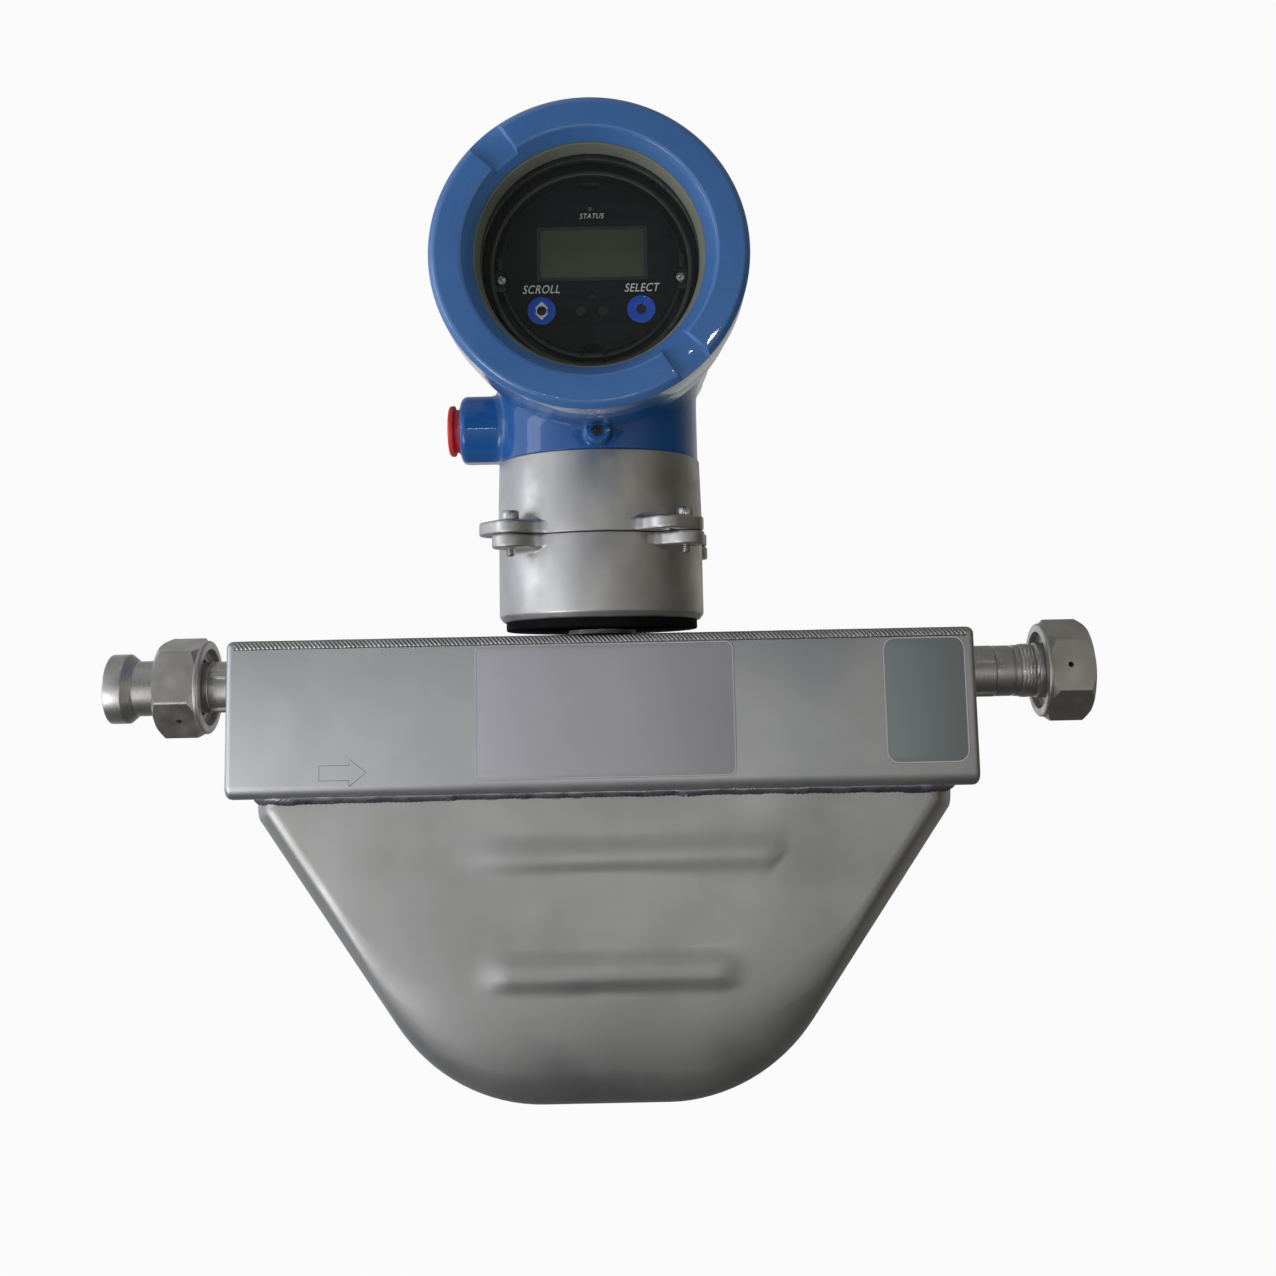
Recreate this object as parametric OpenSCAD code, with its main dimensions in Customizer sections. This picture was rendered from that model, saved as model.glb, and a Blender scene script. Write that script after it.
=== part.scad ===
// Coriolis mass flow meter with an integral transmitter head.
// X runs along the pipe, +Z is up, the display faces -Y.
// The origin is on the pipe axis, midway between the two connections.

/* [Sensor case] */
// Length of the case box along the pipe
case_w = 304; // [300:1:308]
// Depth of the case box, front to back
case_d = 76; // [76:1:82]
// Top of the case box above the pipe axis
case_top = 17.8; // [17.2:0.2:18.4]
// Bottom of the case box
case_bot = -45.7; // [-47:0.1:-45]
// Wall of the case box
case_wall = 3; // [2.5:0.1:3.2]
// Half length of the lower case where it meets the box
lower_half = 145.7; // [144:0.1:147]
// Lowest point of the lower case
lower_bot = -172.6; // [-176:0.2:-171]
// Wall of the lower case
lower_wall = 2.5; // [2:0.1:3]

/* [Process connections] */
// Distance from the origin to the inlet gland face
gland_face = 210.4; // [209:0.2:214]
// Distance from the origin to the outlet gland face
outlet_face = 208; // [207.6:0.2:210]
// Flow bore radius
bore_r = 6.35; // [5.5:0.05:6.6]
// Gland flange radius
flange_r = 14.8; // [14.6:0.1:15.0]
// Gland shank radius
shank_r = 11.75; // [11.5:0.05:11.8]
// Union nut across flats
nut_af = 38.1; // [38.1:0.1:39]
// Union nut length
nut_len = 19.8; // [19.4:0.1:20.1]
// Round collar at the back of each union nut, radius
nut_collar_r = 19.9; // [19.5:0.1:20]
// Inner end of the inlet nut from the origin
inlet_nut_back = 168.6; // [168.1:0.1:171]
// Inner end of the outlet nut from the origin
outlet_nut_back = 186.6; // [186:0.1:187.8]

/* [Flow tubes] */
// Outer radius of each flow tube
tube_r = 6.35; // [6:0.05:6.4]
// Wall of each flow tube
tube_wall = 1.15; // [0.9:0.05:1.3]
// Half spacing of the two flow tubes
tube_y = 13; // [13:0.1:13.5]

/* [Base and transition ring] */
// Radius of the base housing
base_r = 44; // [43.8:0.1:44.4]
// Underside of the base housing
base_bot = 24.6; // [24:0.1:25]
// Underside of the turned foot below the base housing
foot_bot = 20.8; // [20:0.1:21.5]
// Seam between base and transition ring
seam_z = 59.2; // [59:0.1:59.8]
// Radius of the screw circle
screw_r = 51; // [50.6:0.1:51.4]
// Turn from locked to unlocked
unlock_deg = 12; // [11:0.5:12]

/* [Transmitter head] */
// Seam between transition ring and enclosure
ring_top = 93.3; // [93:0.1:93.6]
// Neck radius of the enclosure
neck_r = 43.1; // [42.8:0.1:43.4]
// Height of the drum axis
drum_z = 160.6; // [160:0.1:161]
// Radius of the drum behind the collar
drum_r = 53.6; // [53.4:0.1:54.5]
// Radius of the thread collar
collar_r = 59.8; // [59:0.1:60.4]
// Radius of the display cover
cover_r = 61.4; // [61:0.1:62]
// Front plane of the cover, measured towards the viewer
cover_front = 98; // [97.6:0.1:98.4]
// Radius of the display module
disp_r = 34.6; // [34:0.1:35]

/* [Hidden] */
eps = 0.02;
case_h = case_top - case_bot;
case_cz = (case_top + case_bot) / 2;
slope = 34.6;
vp = [[-118, -20], [-118, -52], [-50.4, -150], [50.4, -150], [118, -52], [118, -20]];
lug_az = [225, 315, 38, 135];
steel = [0.66, 0.66, 0.65];
steel_dark = [0.50, 0.50, 0.49];
blue = [0.20, 0.38, 0.66];
black = [0.05, 0.05, 0.06];

// ---- helpers ----
// solid of revolution about the pipe direction; points are [radius, x]
module xrev(pts, fn = 96) rotate([0, 90, 0]) rotate_extrude($fn = fn) polygon(pts);
// solid of revolution about the drum axis; points are [radius, y]
module yrev(pts, fn = 128) translate([0, 0, drum_z]) rotate([90, 0, 0])
  rotate_extrude($fn = fn) polygon([for (p = pts) [p[0], -p[1]]]);
// rod of radius r along Y from y0 to y1 at x, z
module yrod(r, y0, y1, x = 0, z = 0, fn = 48) translate([x, y0, z]) rotate([-90, 0, 0]) cylinder(r = r, h = y1 - y0, $fn = fn);
// rod of radius r along X from x0 to x1 at y, z
module xrod(r, x0, x1, y = 0, z = 0, fn = 64) translate([x0, y, z]) rotate([0, 90, 0]) cylinder(r = r, h = x1 - x0, $fn = fn);
module zrod(r, z0, z1, x = 0, y = 0, fn = 64) translate([x, y, z0]) cylinder(r = r, h = z1 - z0, $fn = fn);
module rrect(w, h, r) {
  square([w - 2 * r, h], center = true);
  square([w, h - 2 * r], center = true);
  for (sx = [-1, 1], sy = [-1, 1]) translate([sx * (w / 2 - r), sy * (h / 2 - r)]) circle(r, $fn = 48);
}
// straight wire between two points
module wire(a, b, r = 0.6) {
  d = b - a; l = norm(d);
  translate(a) rotate([0, acos(d[2] / l), atan2(d[1], d[0])]) cylinder(r = r, h = l, $fn = 16);
}
function arcp(cx, cy, r, a0, a1, n) = [for (i = [0:n]) [cx + r * cos(a0 + (a1 - a0) * i / n), cy + r * sin(a0 + (a1 - a0) * i / n)]];
function mirx(p) = [for (i = [len(p) - 1:-1:0]) [-p[i][0], p[i][1]]];

// ---- sensor case ----
module case_box() color(steel) difference() {
  intersection() {
    translate([0, 0, case_cz]) rotate([90, 0, 90]) linear_extrude(height = case_w + 2, center = true) rrect(case_d, case_h, 4);
    translate([0, 0, case_bot - 1]) linear_extrude(height = case_h + 2) rrect(case_w, case_d + 2 * eps, 3.5);
  }
  translate([0, 0, case_cz]) cube([case_w - 2 * case_wall, case_d - 2 * case_wall, case_h - 2 * case_wall], center = true);
  translate([0, 0, case_bot]) cube([2 * 135, 56, 20], center = true);
  zrod(9.5, case_top - 10, case_top + 5);
  xrod(11, -case_w / 2 - 5, -case_w / 2 + 10);
  xrod(11, case_w / 2 - 10, case_w / 2 + 5);
}

// front outline of the lower case, drawn in by d, with its bottom at zb
function half_outline(d, zb, rb) =
  let (px = lower_half - 1.7 - 0.8232 * d, pz = -57 + 0.5678 * d,
       xc = px - 0.6897 * (pz - zb), t = rb * tan((90 - slope) / 2))
  concat(arcp(xc - t, zb + rb, rb, -90, -slope, 10),
    [[px, pz], [lower_half - 0.5 - d, -53.5 + 0.4 * d], [lower_half - d, -50]]);
// the outlet side leans in a little more
function lean(p) = [for (q = p) [q[0] - 0.02 * max(0, -57 - q[1]), q[1]]];
module lower_slice(d, zb, y, top, rb = 72)
  translate([0, y, 0]) rotate([90, 0, 0]) linear_extrude(height = 0.02, center = true)
    polygon(concat(lean(half_outline(d, zb, rb)), [[lower_half - d, top], [-(lower_half - d), top]], mirx(half_outline(d, zb, rb))));
module lower_solid(w, top) hull() for (s = [-1, 1]) {
  lower_slice(13 + w, lower_bot + 52 + w, s * (33.5 - w), top);
  lower_slice(9.6 + w, lower_bot + 38 + w, s * (31.6 - w), top);
  lower_slice(7.2 + w, lower_bot + 24 + w, s * (28 - w), top);
  lower_slice(4.3 + w, lower_bot + 11 + w, s * (22 - w), top);
  lower_slice(1.6 + w, lower_bot + 2.5 + w, s * (13.5 - w), top);
  lower_slice(w, lower_bot + w, s * 5, top);
}
module lower_case() color(steel) difference() {
  lower_solid(0, case_bot);
  lower_solid(lower_wall, case_bot + 4);
}

module support_neck() color(steel) difference() {
  zrod(14.4, case_top, foot_bot);
  zrod(9, case_top - 1, foot_bot + 1);
}

// one lug: a round end on the screw circle, faired into the ring
module lug2d(a0, a1, r, spread, inner) {
  for (a = [a0, a1]) rotate(a) translate([screw_r, 0]) circle(r, $fn = 48);
  n = 6;
  if (a0 != a1) polygon(concat([for (i = [0:n]) let (a = a0 + (a1 - a0) * i / n) (screw_r + r - 0.03) * [cos(a), sin(a)]],
    [for (i = [n:-1:0]) let (a = a0 + (a1 - a0) * i / n) inner * [cos(a), sin(a)]]));
  // tangent fairings on both sides
  for (s = [0, 1]) let (a = s == 0 ? a0 : a1, k = s == 0 ? 1 : -1)
    polygon([inner * [cos(a), sin(a)],
      screw_r * [cos(a), sin(a)] + r * 0.99 * [cos(a + k * 55), sin(a + k * 55)],
      (inner + 1.7) * [cos(a + k * spread), sin(a + k * spread)],
      inner * [cos(a + k * (spread + 1)), sin(a + k * (spread + 1))]]);
}

module base_housing() color(steel) difference() {
  union() {
    difference() {
      rotate_extrude($fn = 160) polygon([[12, foot_bot], [40.4, foot_bot], [41.1, foot_bot + 0.7], [41.1, base_bot], [base_r - 2.6, base_bot], [base_r - 1.3, base_bot + 0.35],
        [base_r - 0.35, base_bot + 1.3], [base_r, base_bot + 2.6], [base_r, seam_z - 0.35], [base_r - 0.35, seam_z - 0.1], [12, seam_z - 0.1]]);
      zrod(40.35, base_bot + 4.4, seam_z + 1, fn = 160);
    }
    difference() {
      for (a = lug_az) translate([0, 0, seam_z - 5.7]) linear_extrude(height = 5.6) lug2d(a, a, 7.6, 17, 42);
      zrod(42, seam_z - 10, seam_z + 1, fn = 160);
    }
  }
  zrod(9, foot_bot - 1, base_bot + 10);
  for (a = lug_az) rotate(a) zrod(2.05, seam_z - 10, seam_z + 1, screw_r);
}

module cap_screws() color(steel_dark) for (a = lug_az) rotate(a) translate([screw_r, 0, 0]) difference() {
  union() {
    zrod(2, seam_z - 9, seam_z + 6, fn = 32);
    translate([0, 0, seam_z + 5.9]) rotate_extrude($fn = 48) polygon([[0, 0], [3.6, 0], [3.6, 3.6], [3.2, 4], [0, 4]]);
  }
  zrod(1.75, seam_z + 7.8, seam_z + 11, fn = 6);
}

module core_processor() color(black) difference() {
  rotate_extrude($fn = 96) polygon([[3.2, 29.2], [34, 29.2], [35, 30.2], [35, 49], [32, 52], [3.2, 52]]);
  for (i = [0:3]) translate([-9 + 6 * i, -20, 53]) cube([4, 5, 6], center = true);
}
module core_screw() color(steel_dark) difference() {
  union() { zrod(2.9, 29.1, 52.1, fn = 32); zrod(5, 52.1, 54.6, fn = 48); }
  zrod(2, 53, 56, fn = 6);
}
module feedthrough() color([0.72, 0.62, 0.36]) {
  zrod(8.9, 19, 22.5, fn = 48);
  for (i = [0:8]) rotate(i * 40) zrod(0.5, 13, 26.5, 5.5, fn = 16);
}

// ---- flow path ----
module inlet_manifold() color(steel) manifold();
module outlet_manifold() color(steel) mirror([1, 0, 0]) manifold();
module manifold() difference() {
  union() {
    xrod(14, -case_w / 2 + case_wall, -128);
    intersection() {
      translate([-118, 0, -4]) cube([30, 2 * tube_y + 18, 32], center = true);
      translate([-118, 0, -30]) linear_extrude(height = 60) rrect(30.1, 2 * tube_y + 18.1, 7);
    }
  }
  xrod(bore_r, -case_w / 2, -115);
  yrod(tube_r - tube_wall, -tube_y, tube_y, -118, 0);
  for (s = [-1, 1]) zrod(tube_r - tube_wall, -21, 0, -118, s * tube_y);
}

// straight run in the plane y = 0, reaching a little way into the bends
module tube_straight(a, b, r, ea = 0, eb = 0) let (d = b - a, l = norm(d), u = d / l)
  translate([a[0] - ea * u[0], 0, a[1] - ea * u[1]]) rotate([0, 90 - atan2(d[1], d[0]), 0]) cylinder(r = r - 0.02, h = l + ea + eb, $fn = 48);
// bend at centre c with bend radius rb, from direction angle a0 over da degrees
module tube_bend(c, rb, a0, da, r) translate([c[0], 0, c[1]]) rotate([90, 0, 0]) rotate([0, 0, a0])
  rotate_extrude(angle = da, $fn = 64) translate([rb, 0]) circle(r, $fn = 32);
module tube_path(r, up) {
  k1 = 30; t1 = k1 * tan(slope / 2);
  k2 = 45; t2 = k2 * tan((90 - slope) / 2);
  sd = [sin(slope), -cos(slope)];
  v1 = vp[1]; v2 = vp[2];
  for (m = [0, 1]) mirror([m, 0, 0]) {
    tube_straight(vp[0] + [0, up], v1 + [0, t1], r, 0, 0.2);
    tube_bend([v1[0] + k1, v1[1] + t1], k1, 180, slope, r);
    tube_straight(v1 + t1 * sd, v2 - t2 * sd, r, 0.2, 0.2);
    tube_bend([v2[0] + t2, v2[1] + k2], k2, 180 + slope, 90 - slope, r);
  }
  tube_straight(v2 + [t2, 0], [-v2[0] - t2, v2[1]], r, 0.2, 0.2);
}
module flow_tube(y) translate([0, y, 0]) difference() {
  tube_path(tube_r, 0);
  tube_path(tube_r - tube_wall, 1);
}
module flow_tube_front() color(steel) flow_tube(-tube_y);
module flow_tube_rear() color(steel) flow_tube(tube_y);

module brace_bars() color(steel_dark) for (s = [-1, 1], z = [-27, -37]) difference() {
  translate([s * 118, 0, z]) linear_extrude(height = 2) rrect(19, 2 * tube_y + 19, 6);
  for (t = [-1, 1]) zrod(tube_r + 0.05, z - 1, z + 3, s * 118, t * tube_y);
}

// coil cup and magnet, centred between the tubes, seated on a tube that runs along X
module coil_part() {
  difference() {
    union() { yrod(8, -1.2, 6, fn = 48); translate([0, 6.4, 0]) cube([14, 5, 12.2], center = true); }
    yrod(5.2, -3, 5, fn = 48);
    xrod(tube_r + 0.05, -20, 20, tube_y, 0);
  }
}
module magnet_part() {
  difference() {
    union() { yrod(4.2, -6, 3.4, fn = 48); translate([0, -6.4, 0]) cube([14, 5, 12.2], center = true); }
    xrod(tube_r + 0.05, -20, 20, -tube_y, 0);
  }
}
pick_x = 84.2; pick_z = -101;
module drive_coil() color([0.62, 0.36, 0.18]) translate([0, 0, -150]) coil_part();
module drive_magnet() color(steel_dark) translate([0, 0, -150]) magnet_part();
module inlet_pickoff_coil() color([0.62, 0.36, 0.18]) translate([-pick_x, 0, pick_z]) rotate([0, 90 - slope, 0]) coil_part();
module inlet_pickoff_magnet() color(steel_dark) translate([-pick_x, 0, pick_z]) rotate([0, 90 - slope, 0]) magnet_part();
module outlet_pickoff_coil() color([0.62, 0.36, 0.18]) translate([pick_x, 0, pick_z]) rotate([0, slope - 90, 0]) coil_part();
module outlet_pickoff_magnet() color(steel_dark) translate([pick_x, 0, pick_z]) rotate([0, slope - 90, 0]) magnet_part();
module temperature_sensor() color([0.85, 0.85, 0.8]) difference() {
  translate([-126.8, -tube_y, -31.2]) cube([4.4, 6, 5.6], center = true);
  zrod(tube_r + 0.05, -40, -20, -118, -tube_y);
}
module sensor_wires() color([0.75, 0.7, 0.55]) {
  runs = [
    [[1.2, 0, 16.6], [1.2, 0, 2], [0, 0, -60], [0, 0, -141.6]],
    [[-3.2, 0, 16.6], [-3.2, 0, 4], [-62, 0, -30], [-81, 0, -92]],
    [[3.6, 0, 16.6], [3.6, 0, 4], [62, 0, -30], [81, 0, -92]],
    [[-1, -3.4, 16.6], [-1, -3.4, 8], [-92, -28, -6], [-112, -30, -31], [-130.5, -22, -32], [-127, -16.4, -32]]];
  for (r = runs) {
    for (i = [0:len(r) - 2]) wire(r[i], r[i + 1]);
    for (i = [1:len(r) - 2]) translate(r[i]) sphere(0.9, $fn = 24);
  }
}

module gland(face) difference() {
  union() {
    xrev([[0, -face], [flange_r - 0.5, -face], [flange_r, -face + 0.5], [flange_r, -face + 7.4],
      [shank_r, -face + 11], [shank_r, -184.8], [11.15, -184.6], [11.35, -183], [11.2, -181], [11.4, -179.4], [11.0, -177.8],
      [10.9, -177.6], [10.9, -175.3], [10.3, -175.2], [10.3, -174.7], [10.8, -174.6], [10.8, -167.2], [10.2, -167], [10.2, -160], [0, -160]]);
    intersection() {
      xrev([[0, -168], [10.8, -168], [11.7, -167], [11.7, -case_w / 2], [0, -case_w / 2]]);
      rotate([-18, 0, 0]) translate([-160, 0, 0]) linear_extrude_x(30) rrect(17.8, 17.8, 2);
    }
    xrod(10.9, -case_w / 2 - 0.5, -case_w / 2 + case_wall);
  }
  xrod(bore_r, -face - 5, -case_w / 2 + case_wall + 5);
}
module linear_extrude_x(l) rotate([90, 0, 90]) linear_extrude(height = l, center = true) children();
module inlet_gland() color(steel) gland(gland_face);
module outlet_gland() color(steel) rotate([0, 0, 180]) gland(outlet_face);

// hexagon union nut; tilt turns its front flat upwards, hole is a leak-test port
module union_nut(tilt, hole_at) {
  r = nut_af / 2 / cos(30);
  difference() {
    union() {
      intersection() {
        rotate([0, 90, 0]) rotate([0, 0, tilt]) cylinder(r = r, h = nut_len, $fn = 6);
        xrev([[0, 1], [18.6, 1], [r + 0.01, 4.4], [r + 0.01, nut_len - 2.6], [19.5, nut_len], [0, nut_len]]);
      }
      xrev([[0, 0], [19, 0], [nut_collar_r, nut_collar_r - 19], [nut_collar_r, 2.1], [0, 2.1]]);
    }
    xrod(shank_r + 0.4, -1, nut_len + 1, fn = 96);
    xrev([[0, 6.4], [shank_r + 0.4, 6.4], [15.7, 7.6], [15.7, nut_len - 1], [16.6, nut_len + 0.1], [0, nut_len + 0.1]]);
    xrod(16.2, -1, 3.2, fn = 96);
    for (a = hole_at) rotate([a, 0, 0]) translate([9.35, 0, 0]) rotate([90, 0, 0]) translate([0, 0, 10]) cylinder(r = 1.1, h = 15, $fn = 24);
  }
}
module inlet_union_nut() color(steel_dark) translate([-inlet_nut_back, 0, 0]) mirror([1, 0, 0]) union_nut(12.4, [47.6, 227.6]);
module outlet_union_nut() color(steel_dark) translate([outlet_nut_back, 0, 0]) union_nut(5.5, [-5.5, 174.5]);

module label(w, h, x, z, r) translate([x, -case_d / 2, z]) rotate([90, 0, 0]) linear_extrude(height = 0.4) rrect(w, h, r);
module front_label() color([0.74, 0.74, 0.78]) label(105, 54, 1.6, -12.8, 3);
module side_label() color([0.62, 0.68, 0.68]) label(33.6, 50.6, 131, -11.2, 5);

// ---- transmitter head, turning part ----
module transition_ring() color(steel) difference() {
  union() {
    rotate_extrude($fn = 160) polygon([[37, seam_z - 6.6], [40.3, seam_z - 6.6], [40.3, seam_z - 3.6], [38.3, seam_z - 3.6], [38.3, seam_z - 1.2],
      [40.3, seam_z - 1.2], [40.3, seam_z + 0.15], [base_r + 0.35, seam_z + 0.15], [base_r + 0.7, seam_z + 0.5], [neck_r + 0.6, ring_top - 0.4],
      [neck_r + 0.2, ring_top], [30, ring_top], [30, ring_top - 4.3], [40, ring_top - 4.3], [40.6, ring_top - 5], [40.6, seam_z + 9], [39.6, seam_z + 8], [37, seam_z + 8]]);
    difference() {
      for (a = lug_az) translate([0, 0, seam_z + 0.15]) linear_extrude(height = 5.6) lug2d(a, a == 38 ? a : a - 11, 7.4, 15, 42.6);
      zrod(42.2, seam_z - 1, seam_z + 10, fn = 160);
    }
  }
  // keyhole slots: narrow end at the screw, wide end an unlocking turn away
  for (a = lug_az) translate([0, 0, seam_z - 1]) {
    rotate(a) zrod(2.4, 0, 10, screw_r);
    rotate(a - unlock_deg) zrod(4.2, 0, 10, screw_r);
    linear_extrude(height = 10) polygon(concat([for (i = [0:6]) let (b = a - unlock_deg * i / 6) (screw_r + 2.3) * [cos(b), sin(b)]],
      [for (i = [6:-1:0]) let (b = a - unlock_deg * i / 6) (screw_r - 2.3) * [cos(b), sin(b)]]));
  }
  for (i = [0:3]) rotate(45 + 90 * i) zrod(2.05, ring_top - 6, ring_top + 1, 34.5, fn = 32);
}
module base_o_ring() color(black) translate([0, 0, seam_z - 2.4]) rotate_extrude($fn = 128) translate([39.2, 0]) circle(0.85, $fn = 24);
module ring_screws() color(steel_dark) for (i = [0:3]) rotate(45 + 90 * i) difference() {
  union() { zrod(2, ring_top - 4.5, ring_top + 6, 34.5, fn = 32); zrod(3.5, ring_top - 8.3, ring_top - 4.4, 34.5, fn = 32); }
  zrod(1.5, ring_top - 9, ring_top - 6.3, 34.5, fn = 6);
}

hub_r = 15.1; hub_y = [-1, 33]; hub_z = [109.3, 115.3];
module enclosure() color(blue) difference() {
  union() {
    // neck
    rotate_extrude($fn = 160) polygon([[0, ring_top], [neck_r - 0.5, ring_top], [neck_r, ring_top + 0.5], [neck_r, drum_z - 8], [0, drum_z - 8]]);
    // drum and thread collar
    yrev([[0, -75.8], [collar_r - 0.8, -75.8], [collar_r, -75], [collar_r, -54], [collar_r - 1.5, -52.4], [drum_r + 0.8, -51.6], [drum_r, -50.4],
      [drum_r, 42], [drum_r - 1.2, 46.5], [drum_r - 4.2, 50], [drum_r - 9, 52], [0, 52]], 160);
    // conduit hubs
    for (i = [0, 1]) translate([0, hub_y[i], hub_z[i]]) xrev([[0, -20], [hub_r, -20], [hub_r, -56.6], [hub_r - 0.7, -58.6], [hub_r - 3, -60], [0, -60]]);
    // lock screw boss
    yrod(5.2, -50.3, -36, 1, 99.6, 48);
  }
  // front bore, with the thread zone first
  yrev([[0, -77], [52.6, -77], [52.6, -58], [49.6, -58], [49.6, 42], [46.6, 46], [0, 46]], 160);
  zrod(38, ring_top + 8.2, drum_z - 30, fn = 128);
  zrod(30, ring_top - 1, ring_top + 9, fn = 96);
  xrod(9.6, -61, -34, hub_y[0], hub_z[0]);
  xrod(9.6, -61, -15, hub_y[1], hub_z[1]);
  xrod(10.6, -61, -58.8, hub_y[0], hub_z[0]);
  xrod(10.6, -61, -58.8, hub_y[1], hub_z[1]);
  yrod(2.3, -52, -42.4, 1, 99.6, 32);
  for (i = [0:3]) rotate(45 + 90 * i) zrod(2.05, ring_top - 1, ring_top + 6.6, 34.5, fn = 32);
  yrod(2.05, 44, 50.3, 24, 150, 32);
}
module cover_lock_screw() color(steel_dark) difference() {
  yrod(2.25, -49, -43, 1, 99.6, 32);
  yrod(1.2, -50, -46.5, 1, 99.6, 6);
}
module conduit_plug(i) translate([0, hub_y[i], hub_z[i]]) difference() {
  xrev([[0, -64.6], [10.4, -64.6], [11.2, -64], [11.2, -62.8], [10.6, -62.2], [9.5, -62], [9.5, -50], [9, -49], [0, -49]]);
  xrod(7.6, -61, -48);
}
module conduit_plug_front() color([0.78, 0.10, 0.08]) conduit_plug(0);
module conduit_plug_rear() color([0.78, 0.10, 0.08]) conduit_plug(1);

// ---- display and electronics ----
module display_bezel() color(black) difference() {
  yrev([[20, -57.5], [38.4, -57.5], [38.4, -72.6], [40.4, -72.6], [40.4, -57.8], [49.3, -57.8], [49.3, -55.4], [20, -55.4]]);
  for (s = [-1, 1]) yrod(1.6, -60, -50, s * 35.3, drum_z - 4.6, 24);
}
lcd_x = 0.5; lcd_z = drum_z + 5.6; sw_z = drum_z - 17.6; sw_x = 19.6;
module display_module() color(black) difference() {
  union() {
    yrev([[0, -75], [disp_r - 0.8, -75], [disp_r, -74.2], [disp_r, -57.7], [0, -57.7]]);
    intersection() {
      for (s = [-1, 1]) yrod(4.4, -72.2, -57.7, s * 35.3, drum_z - 4.6);
      yrev([[0, -80], [38.1, -80], [38.1, -50], [0, -50]]);
    }
  }
  for (s = [-1, 1]) translate([0, 0, drum_z + s * (disp_r + 0.8)]) rotate([90, 0, 0]) translate([0, 0, 50]) cylinder(r = 4.3, h = 30, $fn = 48);
  translate([lcd_x, -75, lcd_z]) cube([44, 3.6, 22.4], center = true);
  for (s = [-1, 1]) {
    yrod(5.75, -76, -74.3, s * sw_x, sw_z);
    yrod(2.1, -76, -70, s * 4.4, sw_z, 24);
    yrod(1.7, -80, -50, s * 35.3, drum_z - 4.6, 24);
    yrod(3.0, -80, -72.2, s * 35.3, drum_z - 4.6, 32);
  }
  yrod(1.35, -76, -72, 0, sw_z + 5.9, 24);
  yrod(1.1, -76, -72, 0, drum_z + 23.8, 24);
}
module lcd_panel() color([0.42, 0.44, 0.38]) translate([lcd_x, -73.6, lcd_z]) cube([41.2, 0.8, 19.6], center = true);
module switch_ring(x) difference() {
  yrod(5.6, -75.1, -74.3, x, sw_z);
  yrod(1.9, -76, -74, x, sw_z, 24);
}
module scroll_switch() color([0.10, 0.25, 0.85]) switch_ring(-sw_x);
module select_switch() color([0.10, 0.25, 0.85]) switch_ring(sw_x);
module status_light() color([0.75, 0.8, 0.75]) yrod(1.05, -74.9, -72, 0, drum_z + 23.8, 24);
module display_screws() color(steel) for (s = [-1, 1]) difference() {
  union() { yrod(1.5, -72.3, -56, s * 35.3, drum_z - 4.6, 24); yrod(2.7, -74, -72.2, s * 35.3, drum_z - 4.6, 32); }
  translate([s * 35.3, -74, drum_z - 4.6]) { cube([0.7, 1.6, 4], center = true); cube([4, 1.6, 0.7], center = true); }
}
module board(y, r) difference() {
  translate([0, 0, drum_z]) rotate([90, 0, 0]) translate([0, 0, -y - 1.6]) linear_extrude(height = 1.6) difference() { circle(r, $fn = 96); translate([-60, -r - 6]) square([120, 12]); }
  for (a = [30, 150, 270]) yrod(1.3, y - 1, y + 3, 40 * cos(a), drum_z + 40 * sin(a), 24);
}
module chip(w, h, x, z, y0, y1) translate([x - w / 2, y0, drum_z + z - h / 2]) cube([w, y1 - y0, h]);
module main_board() color([0.1, 0.35, 0.2]) union() {
  board(-50, 46);
  chip(14, 14, -8, 6, -52.4, -49.9); chip(9, 20, 16, -6, -51.6, -49.9); chip(20, 6, -4, -22, -53, -49.9); chip(7, 7, 14, 20, -51.4, -49.9);
}
module power_board() color([0.1, 0.35, 0.2]) union() {
  board(-34, 46);
  chip(16, 12, 14, 14, -43.5, -33.9); chip(8, 18, -16, 8, -41, -33.9); chip(12, 8, 6, -8, -39, -33.9);
}
module board_standoffs() color([0.75, 0.65, 0.35]) for (a = [30, 150, 270], p = [[-55.35, -50.05], [-48.35, -34.05]])
  yrod(2.4, p[0], p[1], 40 * cos(a), drum_z + 40 * sin(a), 32);
module terminal_block() color([0.12, 0.12, 0.12]) difference() {
  translate([0, -25.3, drum_z - 14]) cube([58, 14, 17], center = true);
  for (i = [0:5]) {
    yrod(2.2, -24, -10, -22.5 + 9 * i, drum_z - 11, 24);
    translate([-22.5 + 9 * i, -20, drum_z - 19]) cube([5, 6, 4], center = true);
  }
}
module earth_screw() color([0.2, 0.6, 0.25]) difference() {
  union() { yrod(2, 43, 50, 24, 150, 32); yrod(4, 40.6, 43.2, 24, 150, 6); yrod(5, 43.2, 45.9, 24, 150, 32); }
  translate([24, 40.6, 150]) cube([5, 1.6, 1], center = true);
}
module core_cable() color([0.2, 0.2, 0.22]) {
  zrod(2.4, 52.8, 138, 0, 12, 24);
  translate([0, 12, 138]) sphere(2.9, $fn = 32);
  wire([0, 12, 138], [0, -17.2, 142], 2.4);
}

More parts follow.
